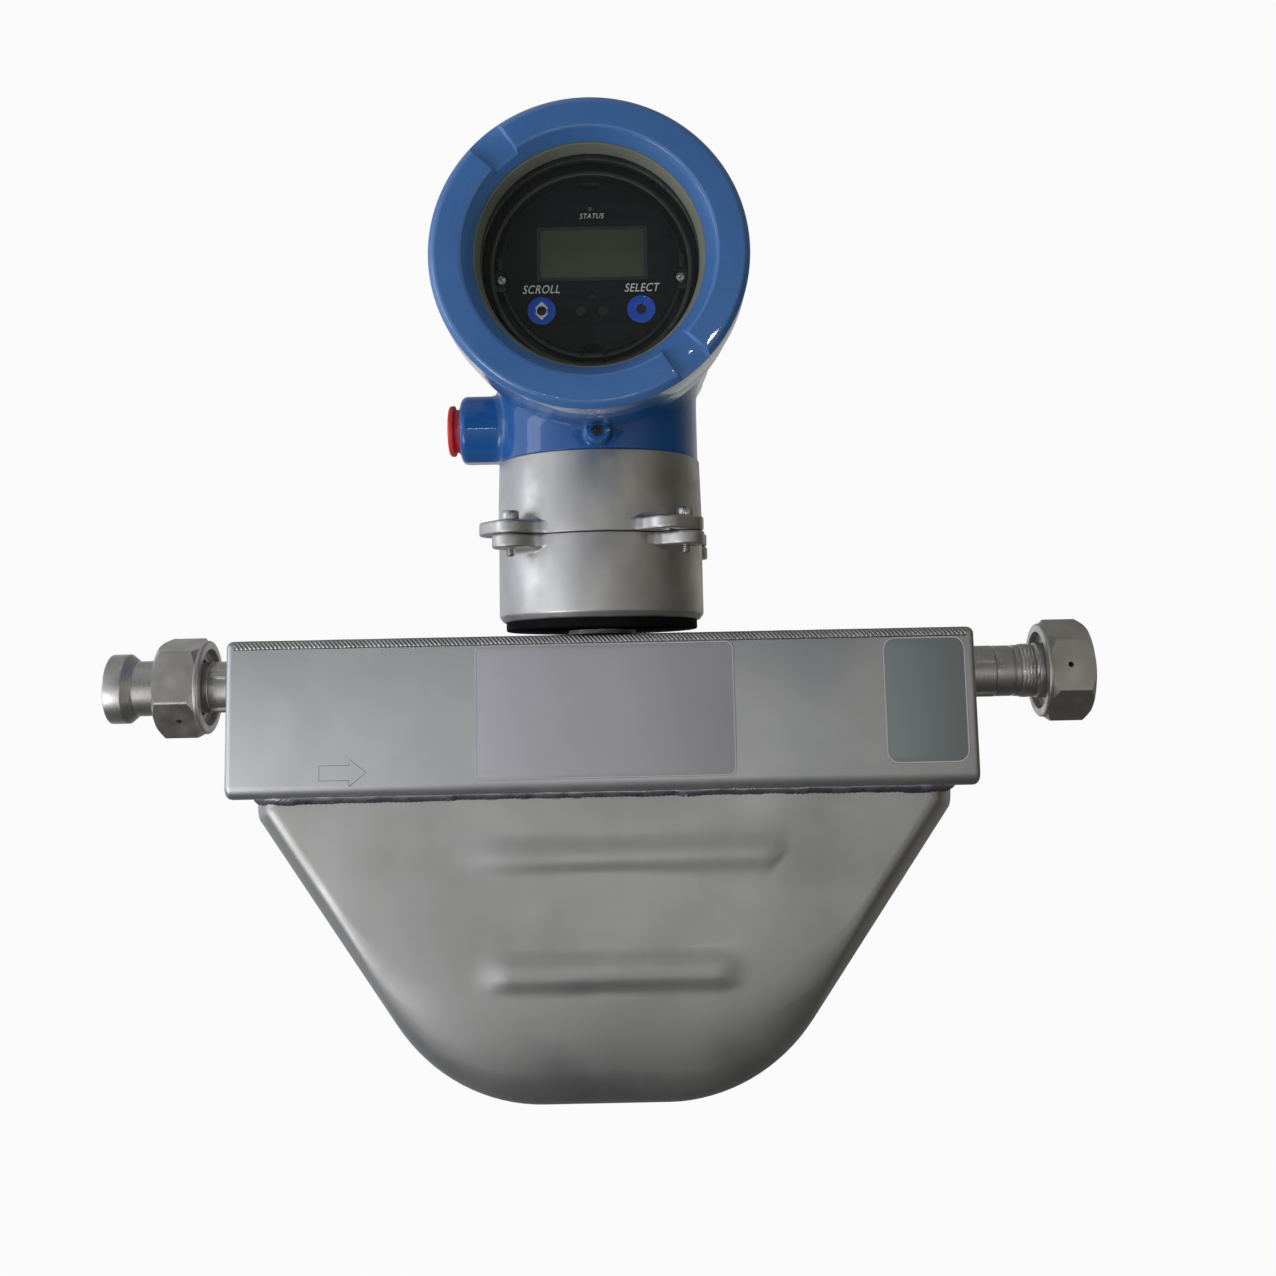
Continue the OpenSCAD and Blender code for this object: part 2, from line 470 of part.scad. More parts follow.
// ---- display cover, unscrews about the drum axis ----
module cover_o_ring() color(black) yrev([for (i = [0:23]) [51.22 + 0.92 * cos(15 * i), -72.4 + 0.92 * sin(15 * i)]]);
module display_cover() color(blue) difference() {
  union() {
    // face ring, outer rim and bevel
    yrev([[44.2, -92], [49, -cover_front], [cover_r - 2.4, -cover_front], [cover_r - 1.1, -cover_front + 0.35], [cover_r - 0.3, -cover_front + 1.2],
      [cover_r, -cover_front + 2.6], [cover_r, -77], [cover_r - 0.7, -76.2], [48.2, -76.2], [48.2, -91.5], [44.2, -91.5]], 160);
    // threaded spigot with the O-ring groove
    yrev([[48.2, -77], [52.55, -77], [52.55, -74], [49.9, -74], [49.9, -70.8], [52.55, -70.8], [52.55, -66.6], [51.9, -66], [48.2, -66]], 160);
  }
  // two shallow tool slots across the rim
  for (a = [131, 310.7]) translate([0, -cover_front, drum_z]) rotate([0, -a, 0]) rotate([90, 0, 0]) linear_extrude(height = 4, center = true) polygon([[42, -4.85], [66, -7.6], [66, 7.6], [42, 4.85]]);
}
module glass_gasket() color([0.62, 0.66, 0.60]) yrev([[44.1, -91.4], [48, -91.4], [48, -84.6], [42.4, -84.6]], 128);
module cover_glass() color([0.8, 0.85, 0.85, 0.35]) yrev([[0, -84.5], [47.9, -84.5], [47.9, -78.5], [0, -78.5]], 128);
module glass_retainer() color(black) yrev([[42.5, -78.4], [48.1, -78.4], [48.1, -74.4], [43.5, -74.4], [42.5, -75.4]], 128);

case_box();
lower_case();
support_neck();
base_housing();
cap_screws();
core_processor();
core_screw();
feedthrough();
inlet_manifold();
outlet_manifold();
flow_tube_front();
flow_tube_rear();
brace_bars();
drive_coil();
drive_magnet();
inlet_pickoff_coil();
inlet_pickoff_magnet();
outlet_pickoff_coil();
outlet_pickoff_magnet();
temperature_sensor();
sensor_wires();
inlet_gland();
outlet_gland();
front_label();
side_label();
inlet_union_nut();
outlet_union_nut();
transition_ring();
base_o_ring();
ring_screws();
enclosure();
cover_lock_screw();
conduit_plug_front();
conduit_plug_rear();
display_bezel();
display_module();
lcd_panel();
scroll_switch();
select_switch();
status_light();
display_screws();
main_board();
power_board();
board_standoffs();
terminal_block();
earth_screw();
core_cable();
cover_o_ring();
display_cover();
cover_glass();
glass_gasket();
glass_retainer();
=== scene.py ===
import math
import bpy
import bmesh
import numpy as np
from mathutils import Vector, Matrix


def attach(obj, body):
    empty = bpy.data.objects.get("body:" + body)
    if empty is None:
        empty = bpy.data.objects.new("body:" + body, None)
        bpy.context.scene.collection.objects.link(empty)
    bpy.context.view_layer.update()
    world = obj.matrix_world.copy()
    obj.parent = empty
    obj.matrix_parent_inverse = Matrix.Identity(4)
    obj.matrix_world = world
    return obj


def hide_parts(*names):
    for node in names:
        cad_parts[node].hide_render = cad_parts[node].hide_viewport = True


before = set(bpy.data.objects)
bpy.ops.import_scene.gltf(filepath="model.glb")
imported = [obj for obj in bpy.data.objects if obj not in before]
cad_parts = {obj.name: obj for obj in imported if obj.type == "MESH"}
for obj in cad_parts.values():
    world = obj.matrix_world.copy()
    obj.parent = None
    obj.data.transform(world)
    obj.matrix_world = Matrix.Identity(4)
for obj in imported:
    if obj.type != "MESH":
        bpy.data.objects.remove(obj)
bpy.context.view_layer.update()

SC = bpy.context.scene
MM = 0.001
DZ = 160.6          # drum axis height, mm
rad = math.radians


# ------------------------------------------------------------------ materials
def material(name, color, metallic=0.0, rough=0.4, coat=0.0, coat_rough=0.08, ior=1.5,
             tint=0.12, tint_scale=18.0, color2=None, rough_var=0.12, rough_scale=60.0,
             bump=0.0, bump_scale=900.0, bump_dist=0.0002, stretch=(1, 1, 1), detail=4.0,
             cloud=None, speck=None, spec=0.5, sheen=0.0, grad=None):
    m = bpy.data.materials.new(name)
    m.use_nodes = True
    nt = m.node_tree
    nt.nodes.clear()
    N, L = nt.nodes.new, nt.links.new
    out = N("ShaderNodeOutputMaterial")
    b = N("ShaderNodeBsdfPrincipled")
    L(b.outputs[0], out.inputs[0])
    b.inputs["Metallic"].default_value = metallic
    b.inputs["IOR"].default_value = ior
    b.inputs["Coat Weight"].default_value = coat
    b.inputs["Coat Roughness"].default_value = coat_rough
    b.inputs["Specular IOR Level"].default_value = spec
    b.inputs["Sheen Weight"].default_value = sheen
    tc = N("ShaderNodeTexCoord")
    mp = N("ShaderNodeMapping")
    mp.inputs["Scale"].default_value = stretch
    L(tc.outputs["Object"], mp.inputs["Vector"])
    n1 = N("ShaderNodeTexNoise")
    n1.inputs["Scale"].default_value = tint_scale
    n1.inputs["Detail"].default_value = detail
    L(mp.outputs[0], n1.inputs["Vector"])
    c = np.array(color, float)
    c2 = np.array(color2, float) if color2 is not None else c * (1 - tint)
    cr = N("ShaderNodeValToRGB")
    cr.color_ramp.elements[0].position = 0.34
    cr.color_ramp.elements[1].position = 0.66
    cr.color_ramp.elements[0].color = (*np.clip(c2, 0, 1), 1)
    cr.color_ramp.elements[1].color = (*np.clip(c * (1 + tint * 0.6), 0, 1), 1)
    L(n1.outputs[0], cr.inputs[0])
    col = cr.outputs[0]
    if cloud:                       # broad stains: (colour, scale, low, high)
        n4 = N("ShaderNodeTexNoise")
        n4.inputs["Scale"].default_value = cloud[1]
        n4.inputs["Detail"].default_value = 3.0
        L(tc.outputs["Object"], n4.inputs["Vector"])
        mr = N("ShaderNodeMapRange")
        mr.inputs["From Min"].default_value = cloud[2]
        mr.inputs["From Max"].default_value = cloud[3]
        L(n4.outputs[0], mr.inputs[0])
        mx = N("ShaderNodeMix")
        mx.data_type = "RGBA"
        L(mr.outputs[0], mx.inputs[0])
        L(col, mx.inputs[6])
        mx.inputs[7].default_value = (*cloud[0], 1)
        col = mx.outputs[2]
    if grad:                        # colour blended in along one object axis: (axis, from, to, colour, strength)
        sx = N("ShaderNodeSeparateXYZ")
        L(tc.outputs["Object"], sx.inputs[0])
        mr = N("ShaderNodeMapRange")
        mr.inputs["From Min"].default_value = grad[1]
        mr.inputs["From Max"].default_value = grad[2]
        mr.inputs["To Max"].default_value = grad[4]
        L(sx.outputs[grad[0]], mr.inputs[0])
        mx = N("ShaderNodeMix")
        mx.data_type = "RGBA"
        L(mr.outputs[0], mx.inputs[0])
        L(col, mx.inputs[6])
        mx.inputs[7].default_value = (*grad[3], 1)
        col = mx.outputs[2]
    if speck:                       # fine dark specks: (colour, scale, threshold)
        n5 = N("ShaderNodeTexNoise")
        n5.inputs["Scale"].default_value = speck[1]
        n5.inputs["Detail"].default_value = 2.0
        L(tc.outputs["Object"], n5.inputs["Vector"])
        mr = N("ShaderNodeMapRange")
        mr.inputs["From Min"].default_value = speck[2]
        mr.inputs["From Max"].default_value = speck[2] + 0.06
        L(n5.outputs[0], mr.inputs[0])
        mx = N("ShaderNodeMix")
        mx.data_type = "RGBA"
        L(mr.outputs[0], mx.inputs[0])
        L(col, mx.inputs[6])
        mx.inputs[7].default_value = (*speck[0], 1)
        col = mx.outputs[2]
    L(col, b.inputs["Base Color"])
    n2 = N("ShaderNodeTexNoise")
    n2.inputs["Scale"].default_value = rough_scale
    n2.inputs["Detail"].default_value = 3.0
    L(mp.outputs[0], n2.inputs["Vector"])
    m2 = N("ShaderNodeMapRange")
    m2.inputs["From Min"].default_value = 0.3
    m2.inputs["From Max"].default_value = 0.7
    m2.inputs["To Min"].default_value = max(rough - rough_var * rough, 0.02)
    m2.inputs["To Max"].default_value = min(rough + rough_var * rough, 1.0)
    L(n2.outputs[0], m2.inputs[0])
    L(m2.outputs[0], b.inputs["Roughness"])
    if bump:
        n3 = N("ShaderNodeTexNoise")
        n3.inputs["Scale"].default_value = bump_scale
        n3.inputs["Detail"].default_value = 3.0
        L(mp.outputs[0], n3.inputs["Vector"])
        bp = N("ShaderNodeBump")
        bp.inputs["Strength"].default_value = bump
        bp.inputs["Distance"].default_value = bump_dist
        L(n3.outputs[0], bp.inputs["Height"])
        L(bp.outputs[0], b.inputs["Normal"])
    return m


def glass_material(name):
    m = bpy.data.materials.new(name)
    m.use_nodes = True
    nt = m.node_tree
    nt.nodes.clear()
    N, L = nt.nodes.new, nt.links.new
    out = N("ShaderNodeOutputMaterial")
    b = N("ShaderNodeBsdfPrincipled")
    b.inputs["Base Color"].default_value = (0.93, 0.96, 0.95, 1)
    b.inputs["IOR"].default_value = 1.45
    n = N("ShaderNodeTexNoise")
    n.inputs["Scale"].default_value = 40.0
    tc = N("ShaderNodeTexCoord")
    L(tc.outputs["Object"], n.inputs["Vector"])
    r = N("ShaderNodeMapRange")
    r.inputs["To Min"].default_value = 0.02
    r.inputs["To Max"].default_value = 0.06
    L(n.outputs[0], r.inputs[0])
    L(r.outputs[0], b.inputs["Roughness"])
    t = N("ShaderNodeBsdfTransparent")
    t.inputs[0].default_value = (0.97, 0.985, 0.975, 1)
    fr = N("ShaderNodeFresnel")
    fr.inputs[0].default_value = 1.35
    sc = N("ShaderNodeMath")
    sc.operation = "MULTIPLY"
    sc.inputs[1].default_value = 0.55
    L(fr.outputs[0], sc.inputs[0])
    cp = N("ShaderNodeMath")        # the far face would go opaque past its critical angle
    cp.operation = "MINIMUM"
    cp.inputs[1].default_value = 0.05
    L(sc.outputs[0], cp.inputs[0])
    mx = N("ShaderNodeMixShader")
    L(cp.outputs[0], mx.inputs[0])
    L(t.outputs[0], mx.inputs[1])
    L(b.outputs[0], mx.inputs[2])
    L(mx.outputs[0], out.inputs[0])
    return m


BLUE = material("blue_enamel", (0.082, 0.245, 0.61), rough=0.30, coat=0.8, coat_rough=0.03, tint=0.05, tint_scale=9,
                color2=(0.072, 0.215, 0.55), rough_var=0.25, rough_scale=35, bump=0.42, bump_scale=800, bump_dist=0.00025)
# darker, less shiny copy of the cover's blue enamel for the enclosure body: painted shade, the same paint made darker
# so the body reads dimmer than the cover
BLUE_SHADED_BODY = material("blue_enamel_painted_shade", (0.010, 0.130, 0.43), rough=0.30, spec=0.25, coat=0.8, coat_rough=0.025, tint=0.06, tint_scale=9,
                     color2=(0.008, 0.112, 0.39), rough_var=0.25, rough_scale=35, bump=0.42, bump_scale=700, bump_dist=0.00025)
BLUE_IN = material("blue_enamel_inside", (0.06, 0.15, 0.30), rough=0.5, tint=0.1, bump=0.2, bump_scale=800)
BLAST = material("blasted_stainless", (0.61, 0.605, 0.59), metallic=1.0, rough=0.44, tint=0.10, tint_scale=70, rough_var=0.26,
                 rough_scale=60, bump=0.42, bump_scale=1700, bump_dist=0.0001, cloud=((0.46, 0.455, 0.44), 26, 0.44, 0.74))
BOXSTEEL = material("satin_stainless_box", (0.59, 0.59, 0.585), metallic=1.0, rough=0.46, tint=0.05, tint_scale=28, rough_var=0.10,
                    rough_scale=40, bump=0.22, bump_scale=2200, bump_dist=0.00006, cloud=((0.46, 0.468, 0.482), 15, 0.42, 0.70))
CASESTEEL = material("pressed_stainless", (0.52, 0.52, 0.503), metallic=1.0, rough=0.50, tint=0.10, tint_scale=22, rough_var=0.15,
                     rough_scale=30, bump=0.30, bump_scale=1500, bump_dist=0.0001, cloud=((0.42, 0.42, 0.395), 15, 0.44, 0.76))
HATCH = material("rippled_seam", (0.40, 0.40, 0.385), metallic=1.0, rough=0.33, tint=0.12, tint_scale=120, rough_var=0.2,
                 rough_scale=200, bump=0.3, bump_scale=1500, bump_dist=0.00008)
WELD = material("weld_bead", (0.40, 0.39, 0.42), metallic=1.0, rough=0.38, tint=0.25, tint_scale=160, color2=(0.27, 0.25, 0.32),
                rough_var=0.3, rough_scale=300, bump=0.5, bump_scale=1200, bump_dist=0.0002)
MACHINED = material("machined_stainless", (0.61, 0.60, 0.57), metallic=1.0, rough=0.36, tint=0.12, tint_scale=200, rough_var=0.2,
                    rough_scale=400, stretch=(14, 1, 1), bump=0.15, bump_scale=500, bump_dist=0.00005)
NUTSTEEL = material("union_nut_steel", (0.62, 0.605, 0.56), metallic=1.0, rough=0.40, tint=0.14, tint_scale=60, rough_var=0.2,
                    rough_scale=140, bump=0.2, bump_scale=1500, bump_dist=0.00006, cloud=((0.50, 0.485, 0.44), 40, 0.45, 0.75))
SCREW = material("bright_screw_steel", (0.62, 0.61, 0.58), metallic=1.0, rough=0.30, tint=0.1, tint_scale=300, rough_var=0.2,
                 rough_scale=500, bump=0.1, bump_scale=2000, bump_dist=0.00004)
SCREWDARK = material("dark_screw_steel", (0.09, 0.09, 0.09), metallic=1.0, rough=0.45, tint=0.1, tint_scale=300, rough_var=0.2,
                     rough_scale=500, bump=0.1, bump_scale=2000, bump_dist=0.00004)
RED = material("red_moulded_plastic", (0.93, 0.042, 0.040), rough=0.38, tint=0.10, tint_scale=60, rough_var=0.2, rough_scale=120,
               bump=0.12, bump_scale=1800, bump_dist=0.00008, spec=0.5)
FACE = material("display_face_black", (0.006, 0.007, 0.0085), spec=0.12, rough=0.46, tint=0.25, tint_scale=70, rough_var=0.12, rough_scale=200,
                bump=0.22, bump_scale=3000, bump_dist=0.00005)
BLACK = material("black_moulded_plastic", (0.022, 0.023, 0.025), rough=0.40, tint=0.2, tint_scale=50, rough_var=0.15, rough_scale=150,
                 bump=0.2, bump_scale=2000, bump_dist=0.00006)
INNER = material("black_anodised_inside", (0.085, 0.088, 0.08), metallic=0.6, rough=0.38, tint=0.2, tint_scale=80, rough_var=0.3,
                 rough_scale=90, stretch=(1, 6, 1), bump=0.2, bump_scale=700, bump_dist=0.0001)
# the LCD window turns lighter towards its bottom edge
LCD = material("lcd_olive", (0.066, 0.072, 0.046), rough=0.5, spec=0.2, tint=0.05, tint_scale=10, rough_var=0.1, bump=0.05, bump_scale=4000,
               bump_dist=0.00002, grad=(2, 0.170, 0.156, (0.085, 0.092, 0.060), 0.9))
RINGBLUE = material("switch_blue", (0.010, 0.105, 0.70), rough=0.30, tint=0.06, tint_scale=200, rough_var=0.1, bump=0.05, bump_scale=3000,
                    bump_dist=0.00003)
PRINT = material("white_print", (0.86, 0.87, 0.86), rough=0.5, tint=0.05, tint_scale=300, rough_var=0.1, bump=0.1, bump_scale=4000,
                 bump_dist=0.00002)
LENS = material("status_lens", (0.10, 0.11, 0.10), rough=0.12, coat=0.6, tint=0.1, tint_scale=400, rough_var=0.1)
GASKET = material("gasket_grey", (0.275, 0.285, 0.225), rough=0.62, tint=0.12, tint_scale=45, rough_var=0.12, rough_scale=90, bump=0.25,
                  bump_scale=1500, bump_dist=0.0001)
LABEL = material("label_film_lilac", (0.50, 0.495, 0.52), metallic=0.35, rough=0.42, tint=0.03, tint_scale=25, rough_var=0.08,
                 rough_scale=60, bump=0.05, bump_scale=3000, bump_dist=0.00002)
LABEL2 = material("label_film_grey", (0.25, 0.28, 0.275), metallic=0.25, rough=0.45, tint=0.04, tint_scale=30, rough_var=0.08,
                  rough_scale=60, bump=0.06, bump_scale=3000, bump_dist=0.00002)
LABEL2B = material("label_border", (0.62, 0.65, 0.63), metallic=0.2, rough=0.45, tint=0.04, tint_scale=30, rough_var=0.08)
# near-black foot colour: painted shadow standing in for the dark gap between the base and the box top
FOOT_SHADOW = material("painted_shadow_foot", (0.006, 0.006, 0.0065), spec=0.1, rough=0.8, tint=0.2, tint_scale=60, rough_var=0.12, rough_scale=90, bump=0.2,
                    bump_scale=1200, bump_dist=0.00008)
RUBBER = material("black_rubber", (0.018, 0.018, 0.018), rough=0.7, tint=0.2, tint_scale=100, rough_var=0.1, bump=0.2, bump_scale=1500,
                  bump_dist=0.00008)
PCB = material("solder_mask", (0.015, 0.115, 0.045), rough=0.35, tint=0.3, tint_scale=260, rough_var=0.2, bump=0.15, bump_scale=2000,
               bump_dist=0.00005)
COPPER = material("enamelled_copper", (0.50, 0.21, 0.08), metallic=0.9, rough=0.35, tint=0.2, tint_scale=900, rough_var=0.2,
                  bump=0.3, bump_scale=2500, bump_dist=0.0001)
BRASS = material("plated_brass", (0.62, 0.46, 0.20), metallic=1.0, rough=0.32, tint=0.1, tint_scale=300, rough_var=0.2)
CERAMIC = material("white_ceramic", (0.70, 0.68, 0.62), rough=0.6, tint=0.06, tint_scale=200, rough_var=0.1)
SHEATH = material("cable_sheath", (0.05, 0.05, 0.055), rough=0.55, tint=0.2, tint_scale=120, rough_var=0.1)
TUBE = material("drawn_tube_stainless", (0.55, 0.55, 0.54), metallic=1.0, rough=0.34, tint=0.06, tint_scale=80, rough_var=0.15,
                stretch=(1, 1, 0.2))
GLASS = glass_material("window_glass")
STAMP = material("stamped_mark", (0.36, 0.36, 0.365), metallic=1.0, rough=0.5, tint=0.06, tint_scale=100, rough_var=0.1)
FLOORM = material("studio_floor", (0.80, 0.80, 0.79), rough=0.9, tint=0.01, tint_scale=2, rough_var=0.02)


# ------------------------------------------------------------------ mesh tools (all in mm)
def raw(name, verts, faces):
    me = bpy.data.meshes.new(name)
    me.from_pydata([tuple(map(float, v)) for v in verts], [], faces)
    me.update()
    return me


def clean(me, dist=0.0008):
    bm = bmesh.new()
    bm.from_mesh(me)
    bmesh.ops.remove_doubles(bm, verts=bm.verts, dist=dist)
    bmesh.ops.dissolve_degenerate(bm, edges=bm.edges, dist=dist * 0.5)
    bmesh.ops.recalc_face_normals(bm, faces=bm.faces)
    bm.to_mesh(me)
    bm.free()
    return me


def temp(me):
    o = bpy.data.objects.new("tmp", me)
    SC.collection.objects.link(o)
    return o


def evaluated(o):
    dg = bpy.context.evaluated_depsgraph_get()
    dg.update()
    me = bpy.data.meshes.new_from_object(o.evaluated_get(dg))
    bpy.data.objects.remove(o)
    return me


def boolean(me, cutters, op="DIFFERENCE"):
    for c in cutters:
        a, b = temp(me), temp(c)
        md = a.modifiers.new("b", "BOOLEAN")
        md.operation, md.solver, md.object = op, "EXACT", b
        me = evaluated(a)
        bpy.data.objects.remove(b)
    return me


def bevel(me, width, angle=35, segments=2):
    a = temp(me)
    md = a.modifiers.new("v", "BEVEL")
    md.width, md.segments, md.limit_method, md.angle_limit = width, segments, "ANGLE", rad(angle)
    md.use_clamp_overlap = True
    md.miter_outer = "MITER_ARC"
    return evaluated(a)


def moved(me, m):
    me.transform(m)
    return me


def join(*mes):
    bm = bmesh.new()
    for me in mes:
        bm.from_mesh(me)
    me = bpy.data.meshes.new("j")
    bm.to_mesh(me)
    bm.free()
    return me


def emit(name, me, mat, body, replaces=(), sharp=32, tidy=True):
    if tidy:
        clean(me)
    bm = bmesh.new()
    bm.from_mesh(me)
    for f in bm.faces:
        f.smooth = True
    lim = rad(sharp)
    for e in bm.edges:
        e.smooth = len(e.link_faces) == 2 and e.calc_face_angle(0) < lim
    bm.to_mesh(me)
    bm.free()
    me.transform(Matrix.Scale(MM, 4))
    me.name = name
    me.materials.clear()
    me.materials.append(mat)
    for p in me.polygons:
        p.material_index = 0
    o = bpy.data.objects.new(name, me)
    SC.collection.objects.link(o)
    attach(o, body)
    if replaces:
        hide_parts(*([replaces] if isinstance(replaces, str) else replaces))
    return o


def rounded(pts, n=5):
    """Closed outline; a third number on a point is its fillet radius."""
    out, k = [], len(pts)
    for i, p in enumerate(pts):
        r = p[2] if len(p) > 2 else 0
        a, b, c = np.array(pts[i - 1][:2], float), np.array(p[:2], float), np.array(pts[(i + 1) % k][:2], float)
        if r <= 0:
            out.append((b[0], b[1]))
            continue
        u, v = a - b, c - b
        lu, lv = np.linalg.norm(u), np.linalg.norm(v)
        u, v = u / lu, v / lv
        ang = math.acos(max(-1, min(1, float(u @ v))))
        if ang > math.pi - 0.02:
            out.append((b[0], b[1]))
            continue
        t = min(r / math.tan(ang / 2), 0.49 * lu, 0.49 * lv)
        r = t * math.tan(ang / 2)
        cen = b + (u + v) / np.linalg.norm(u + v) * (r / math.sin(ang / 2))
        s, e = b + u * t, b + v * t
        a0, a1 = math.atan2(*(s - cen)[::-1]), math.atan2(*(e - cen)[::-1])
        d = (a1 - a0 + math.pi) % (2 * math.pi) - math.pi
        for j in range(n + 1):
            q = a0 + d * j / n
            out.append((cen[0] + r * math.cos(q), cen[1] + r * math.sin(q)))
    return out


def lathe(pts, axis="z", seg=192, n=5, wobble=None, at=(0, 0, 0)):
    """Closed profile of (radius, height[, fillet]) turned about an axis; height runs along +axis."""
    prof = rounded(pts, n)
    k = len(prof)
    verts, faces = [], []
    for i in range(seg):
        a = 2 * math.pi * i / seg
        c, s = math.cos(a), math.sin(a)
        for r, h in prof:
            if wobble:
                r, h = wobble(r, h, a)
            if axis == "z":
                p = (r * c, r * s, h)
            elif axis == "x":
                p = (h, r * c, r * s)
            else:
                p = (r * s, h, r * c)
            verts.append((p[0] + at[0], p[1] + at[1], p[2] + at[2]))
    for i in range(seg):
        j = (i + 1) % seg
        for q in range(k):
            w = (q + 1) % k
            if prof[q][0] < 1e-9 and prof[w][0] < 1e-9:
                continue
            faces.append((i * k + q, j * k + q, j * k + w, i * k + w))
    return clean(raw("lathe", verts, faces))


def plate(loops, z0, z1, bev=0.0, res=2):
    """Flat shape with holes, extruded from z0 to z1 with rounded edges; loops in the XY plane."""
    cu = bpy.data.curves.new("c", "CURVE")
    cu.dimensions, cu.fill_mode = "2D", "BOTH"
    cu.extrude = (z1 - z0) / 2 - bev
    cu.bevel_depth, cu.bevel_resolution, cu.offset = bev, res, -bev
    for lp in loops:
        sp = cu.splines.new("POLY")
        sp.points.add(len(lp) - 1)
        for p, q in zip(sp.points, lp):
            p.co = (q[0], q[1], 0, 1)
        sp.use_cyclic_u = True
    o = bpy.data.objects.new("c", cu)
    SC.collection.objects.link(o)
    me = evaluated(o)
    me.transform(Matrix.Translation((0, 0, (z0 + z1) / 2)))
    return clean(me, 0.0005)


def circle(r, n=48, cx=0, cy=0, a0=0):
    return [(cx + r * math.cos(a0 + 2 * math.pi * i / n), cy + r * math.sin(a0 + 2 * math.pi * i / n)) for i in range(n)]


def rrect(w, h, r, cx=0, cy=0, n=6):
    return rounded([(cx + w / 2, cy + h / 2, r), (cx - w / 2, cy + h / 2, r), (cx - w / 2, cy - h / 2, r), (cx + w / 2, cy - h / 2, r)], n)


# plate in XZ facing the viewer: plate x -> X, plate y -> Z, plate z -> -Y
def FRONT(y=0.0):
    return Matrix(((1, 0, 0, 0), (0, 0, -1, y), (0, 1, 0, 0), (0, 0, 0, 1)))


def tube(path, r, sides=10, closed=False, taper=None):
    """Round sweep along points; r is a number or a function of the point's index."""
    P = np.array(path, float)
    k = len(P)
    T = np.gradient(P, axis=0) if not closed else np.roll(P, -1, 0) - np.roll(P, 1, 0)
    T /= np.linalg.norm(T, axis=1)[:, None]
    up = np.array([0.13, 0.21, 1.0])
    verts, faces = [], []
    nrm = np.cross(T[0], up)
    nrm /= np.linalg.norm(nrm)
    for i in range(k):
        nrm = nrm - T[i] * (nrm @ T[i])
        nrm /= np.linalg.norm(nrm)
        b = np.cross(T[i], nrm)
        rr = r(i) if callable(r) else r
        for s in range(sides):
            a = 2 * math.pi * s / sides
            verts.append(P[i] + rr * (nrm * math.cos(a) + b * math.sin(a)))
    for i in range(k if closed else k - 1):
        j = (i + 1) % k
        for s in range(sides):
            t = (s + 1) % sides
            faces.append((i * sides + s, i * sides + t, j * sides + t, j * sides + s))
    if not closed:
        faces.append(tuple(range(sides - 1, -1, -1)))
        faces.append(tuple(range((k - 1) * sides, k * sides)))
    return clean(raw("tube", verts, faces), 1e-5)


def hashn(i, k=0):
    v = math.sin(i * 12.9898 + k * 78.233) * 43758.5453
    return v - math.floor(v)


def smooth_noise(x, k=0):
    i = math.floor(x)
    f = x - i
    f = f * f * (3 - 2 * f)
    return hashn(i, k) * (1 - f) + hashn(i + 1, k) * f


